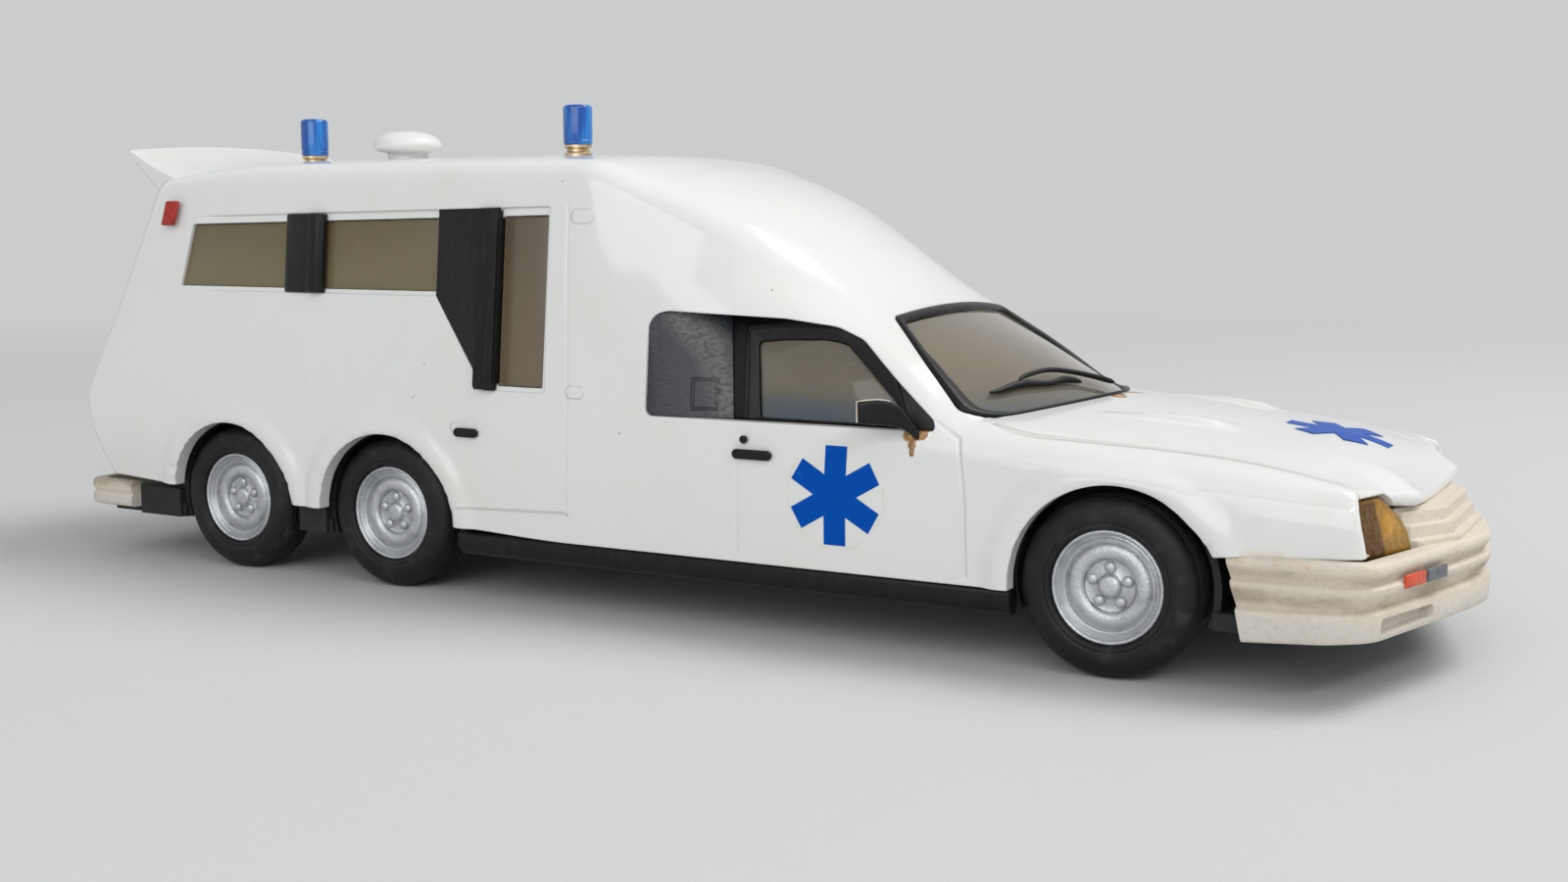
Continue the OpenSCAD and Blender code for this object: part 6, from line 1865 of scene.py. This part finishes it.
class AMBULANCE_OT_wheels(bpy.types.Operator):
    """Turns the tyres and the stepped rims with their lugs."""

    bl_idname = "ambulance.wheels"
    bl_label = "Wheels"

    def wheel_frame(self, node, side):
        """Centre of a tyre's outer face, with local z out of the car."""
        low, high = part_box(node)
        y = low.y if side == RIGHT else high.y
        turn = Matrix.Rotation(math.radians(90 if side == RIGHT else -90), 4, "X")
        return Matrix.Translation(((low.x + high.x) / 2, y, (low.z + high.z) / 2)) @ turn

    def tyre(self, node, rim_node, side):
        low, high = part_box(node)
        rim_low, rim_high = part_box(rim_node)
        inner, outer, width = (rim_high.x - rim_low.x) / 2, (high.x - low.x) / 2, high.y - low.y
        half = [(blend(inner, outer, u), -v * width) for u, v in TYRE_SHARES]
        profile = half + [(r, -width - h) for r, h in half[-2::-1]]
        return turned(f"{node}_piece", profile + [profile[0]], self.wheel_frame(node, side), WHEEL_STEPS)

    def rim(self, node, tyre_node, side):
        low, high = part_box(node)
        radius = (high.x - low.x) / 2
        back = -(high.y - low.y) - RIM_SET
        face = [(u * radius, -RIM_SET - v * RIM_DISH) for u, v in RIM_SHARES]
        hollow = [(u * radius, back + v * RIM_HOLLOW) for u, v in RIM_BACK_SHARES]
        place = self.wheel_frame(tyre_node, side)
        pieces = [turned(f"{node}_piece", [*face, *hollow, face[0]], place, WHEEL_STEPS)]
        lug = [(u * LUG_RADIUS_SHARE * radius, h) for u, h in LUG_PROFILE]
        ring = LUG_RING_SHARE * radius
        for k in range(LUG_COUNT):
            g = math.tau * (k + LUG_START_SHARE) / LUG_COUNT
            at = (ring * math.cos(g), ring * math.sin(g), -RIM_SET - RIM_DISH)
            pieces.append(turned("lug", lug, place @ Matrix.Translation(at), LUG_STEPS))
        return joined(f"{node}_piece", pieces)

    def execute(self, context):
        for axle in ("front", "middle", "rear"):
            for name, side in (("right", RIGHT), ("left", LEFT)):
                tyre, rim = f"{axle}_tyre_{name}", f"{axle}_rim_{name}"
                dress(self.tyre(tyre, rim, side), tyre, angle=50)
                dress(self.rim(rim, tyre, side), rim, angle=50)
        return {"FINISHED"}


class AMBULANCE_OT_base(bpy.types.Operator):
    """Rounds the sills and screw heads and finishes the base plate, axles and posts."""

    bl_idname = "ambulance.base"
    bl_label = "Base and sills"

    def execute(self, context):
        for node in ("sill_right", "sill_left", "base_screws"):
            rounded(node)
        for node in ("chassis", "screw_posts", "front_axle", "middle_axle", "rear_axle"):
            materials = frame["nodes"][node].data.materials
            materials.clear()
            materials.append(finish_for(SLOT_OF[node]))
        return {"FINISHED"}


class AMBULANCE_OT_cab(bpy.types.Operator):
    """Rounds the seats, the dashboard, the steering wheel and the bulkhead."""

    bl_idname = "ambulance.cab"
    bl_label = "Cab"

    def execute(self, context):
        for node in ("front_seats", "dashboard", "steering_wheel", "bulkhead"):
            rounded(node)
        return {"FINISHED"}


# Width of a badge's arms as a share, place of the bonnet's badge, and the films' lift, thickness and cuts
BADGE_ARM_SHARE = .24
BONNET_BADGE_X = 57.95 * MM
BADGE_LIFT, BADGE_THICKNESS, BADGE_CUTS = .03 * MM, .04 * MM, 5


class AMBULANCE_OT_badges(bpy.types.Operator):
    """Lays the six-armed badges on the doors and the bonnet."""

    bl_idname = "ambulance.badges"
    bl_label = "Badges"

    def star(self, name):
        """A flat six-armed star: a hexagon with an arm on each side."""
        size = sizes().badge_size
        w = size * BADGE_ARM_SHARE
        ring = [(w * math.cos(math.radians(60 * k)), w * math.sin(math.radians(60 * k)), 0) for k in range(6)]
        points, faces = [(0, 0, 0)] + ring, []
        for k in range(6):
            a, b = k + 1, (k + 1) % 6 + 1
            faces.append((0, a, b))
            g = math.radians(60 * k + 30)
            reach = size / 2 - w * math.cos(math.radians(30))
            out = Vector((math.cos(g), math.sin(g), 0)) * reach
            points += [Vector(points[a]) + out, Vector(points[b]) + out]
            faces.append((a, len(points) - 2, len(points) - 1, b))
        star = mesh_piece(name, points, faces)
        activate(star)
        bpy.ops.object.mode_set(mode="EDIT")
        bpy.ops.mesh.select_all(action="SELECT")
        bpy.ops.mesh.subdivide(number_cuts=BADGE_CUTS)
        bpy.ops.object.mode_set(mode="OBJECT")
        return star

    def execute(self, context):
        lines = BodyLines()
        film = badge_film().material
        for name, side in (("right", RIGHT), ("left", LEFT)):
            star = self.star(f"door_badge_{name}")
            for vertex in star.data.vertices:
                x, z = BADGE_PLACE[0] * MM - vertex.co.x, BADGE_PLACE[1] * MM + vertex.co.y
                vertex.co = (x, side * (self.side(lines, x, z) + BADGE_LIFT), z)
            self.finish(star, film)
        star = self.star("bonnet_badge")
        for vertex in star.data.vertices:
            x, y = BONNET_BADGE_X + vertex.co.y, vertex.co.x
            vertex.co = (x, y, self.bonnet(lines, x, y) + BADGE_LIFT)
        self.finish(star, film)
        return {"FINISHED"}

    def side(self, lines, x, z):
        """Distance of the painted side from the middle at a height."""
        half = lines.section(x)
        k = int(np.argmax(half[:, 2] > z))
        a, b = half[k - 1], half[k]
        return blend(a[1], b[1], (z - a[2]) / (b[2] - a[2])) + arch_flare(x, z)

    def bonnet(self, lines, x, y):
        """Height of the painted bonnet at a place."""
        half = lines.section(x)
        k = len(half) - int(np.argmax(half[::-1, 1] > abs(y)))
        a, b = half[k - 1], half[min(k, len(half) - 1)]
        t = 0 if a[1] == b[1] else (a[1] - abs(y)) / (a[1] - b[1])
        return blend(a[2], b[2], t) + bonnet_fullness(x, y, lines)

    def finish(self, star, film):
        applied(star, "SOLIDIFY", thickness=BADGE_THICKNESS, offset=0)
        tidy_mesh(star)
        dress(star, slot="blue_lens", body="car", finish=film)


# The photograph's camera: place in millimetres, angles in degrees, focal length in pixels of its frame, and
# width of the sensor
CAMERA_PLACE = (88.983, -150.720, 35.559)
CAMERA_YAW, CAMERA_PITCH = 28.979, 7.032
CAMERA_FOCUS, PHOTO_WIDTH = 1827.53, 1600
SENSOR = 36
CAMERA_CLIP = (.005, 50)
# Studio: colour and strength of its air, size of the floor and where it fades into the backdrop
AIR_COLOUR, AIR_STRENGTH = (.96, .98, 1, 1), .40
FLOOR_SIZE, HAZE_REACH = 6, (.12, .6)
# Its lamps: name, place, aim, size, power and colour
LAMPS = (
    ("key", (.45, .30, .80), (0, 0, .02), (.5, .5), 5.6, (1, 1, 1)),
    ("fill", (.15, -.9, .40), (0, 0, .02), (1.0, .6), 3.5, (.96, .98, 1)),
    ("strip", (.55, -.35, .50), (.02, 0, .02), (.5, .04), .9, (1, 1, 1)),
)


class AMBULANCE_OT_stage(bpy.types.Operator):
    """Sets the pale floor, the soft lights and the camera at the photograph's angle."""

    bl_idname = "ambulance.stage"
    bl_label = "Studio"

    def floor(self):
        deselect()
        bpy.ops.mesh.primitive_plane_add(size=FLOOR_SIZE, location=(0, 0, 0))
        floor = bpy.context.object
        floor.name = "studio_floor"
        f = Finish("pale_floor", colours().floor, .75)
        f.set("Base Color", f.mix(f.noise(4 * MM, 3) * .15, colours().floor, TINTS["floor_mark"]))
        f.bump(f.noise(1.2 * MM, 2), .04 * MM)
        off = f.node("ShaderNodeVectorMath", {"operation": "LENGTH"}, {0: f.at}, output="Value")
        far = off.above(*HAZE_REACH)
        haze = f.node("ShaderNodeEmission", inputs={"Color": (*colours().backdrop, 1)})
        skin = Wire(f, f.shader.outputs[0])
        f.feed(f.tree.nodes["Material Output"].inputs["Surface"],
               f.node("ShaderNodeMixShader", inputs={0: far * f.background_rays(), 1: skin, 2: haze}))
        floor.data.materials.append(f.material)

    def lamp(self, name, place, aim, size, power, colour):
        data = bpy.data.lights.new(name, "AREA")
        data.shape = "RECTANGLE"
        data.size, data.size_y = size
        data.energy = power
        data.color = colour
        lamp = bpy.data.objects.new(name, data)
        lamp.location = place
        lamp.rotation_euler = (Vector(aim) - Vector(place)).to_track_quat("-Z", "Y").to_euler()
        bpy.context.scene.collection.objects.link(lamp)

    def camera(self):
        data = bpy.data.cameras.new("photo_camera")
        data.sensor_width = SENSOR
        data.lens = CAMERA_FOCUS * SENSOR / PHOTO_WIDTH
        data.clip_start, data.clip_end = CAMERA_CLIP
        camera = bpy.data.objects.new("photo_camera", data)
        yaw, pitch = math.radians(CAMERA_YAW), math.radians(CAMERA_PITCH)
        camera.rotation_euler = (math.pi / 2 - pitch, 0, yaw)
        camera.location = Vector(CAMERA_PLACE) * MM
        bpy.context.scene.collection.objects.link(camera)
        bpy.context.scene.camera = camera

    def air(self):
        world = bpy.data.worlds.new("studio_air")
        bpy.context.scene.world = world
        world.use_nodes = True
        w = NodeTree(world.node_tree)
        air = w.node("ShaderNodeBackground", inputs={"Color": AIR_COLOUR, "Strength": AIR_STRENGTH})
        backdrop = w.node("ShaderNodeBackground", inputs={"Color": (*colours().backdrop, 1)})
        w.feed(w.tree.nodes["World Output"].inputs["Surface"],
               w.node("ShaderNodeMixShader", inputs={0: w.background_rays(), 1: air, 2: backdrop}))

    def execute(self, context):
        context.scene.view_settings.view_transform = "Standard"
        self.floor()
        self.camera()
        for row in LAMPS:
            self.lamp(*row)
        self.air()
        return {"FINISHED"}


OPERATORS = (
    AMBULANCE_OT_body, AMBULANCE_OT_spoiler, AMBULANCE_OT_windscreen, AMBULANCE_OT_doors,
    AMBULANCE_OT_side_windows, AMBULANCE_OT_bumpers, AMBULANCE_OT_lamps, AMBULANCE_OT_roof_gear,
    AMBULANCE_OT_wiper, AMBULANCE_OT_mirrors, AMBULANCE_OT_handles, AMBULANCE_OT_wheels, AMBULANCE_OT_base,
    AMBULANCE_OT_cab, AMBULANCE_OT_badges, AMBULANCE_OT_stage,
)


class AMBULANCE_PT_sidebar(bpy.types.Panel):
    """Lists the pieces with their sizes and colours."""

    bl_label = "Model Ambulance"
    bl_idname = "AMBULANCE_PT_sidebar"
    bl_space_type = "VIEW_3D"
    bl_region_type = "UI"
    bl_category = "Ambulance"

    def draw(self, context):
        column = self.layout.column(align=True)
        for operator in OPERATORS:
            column.operator(operator.bl_idname)
        for group in (context.scene.ambulance_sizes, context.scene.ambulance_colours):
            column = self.layout.column(align=True)
            for name in group.__annotations__:
                column.prop(group, name)


CLASSES = (AmbulanceSizes, AmbulanceColours, *OPERATORS, AMBULANCE_PT_sidebar)


def register():
    for cls in CLASSES:
        bpy.utils.register_class(cls)
    bpy.types.Scene.ambulance_sizes = bpy.props.PointerProperty(type=AmbulanceSizes)
    bpy.types.Scene.ambulance_colours = bpy.props.PointerProperty(type=AmbulanceColours)


def unregister():
    del bpy.types.Scene.ambulance_colours
    del bpy.types.Scene.ambulance_sizes
    for cls in reversed(CLASSES):
        bpy.utils.unregister_class(cls)


def main():
    register()
    for operator in OPERATORS:
        group, name = operator.bl_idname.split(".")
        getattr(getattr(bpy.ops, group), name)()


if __name__ == "__main__":
    main()
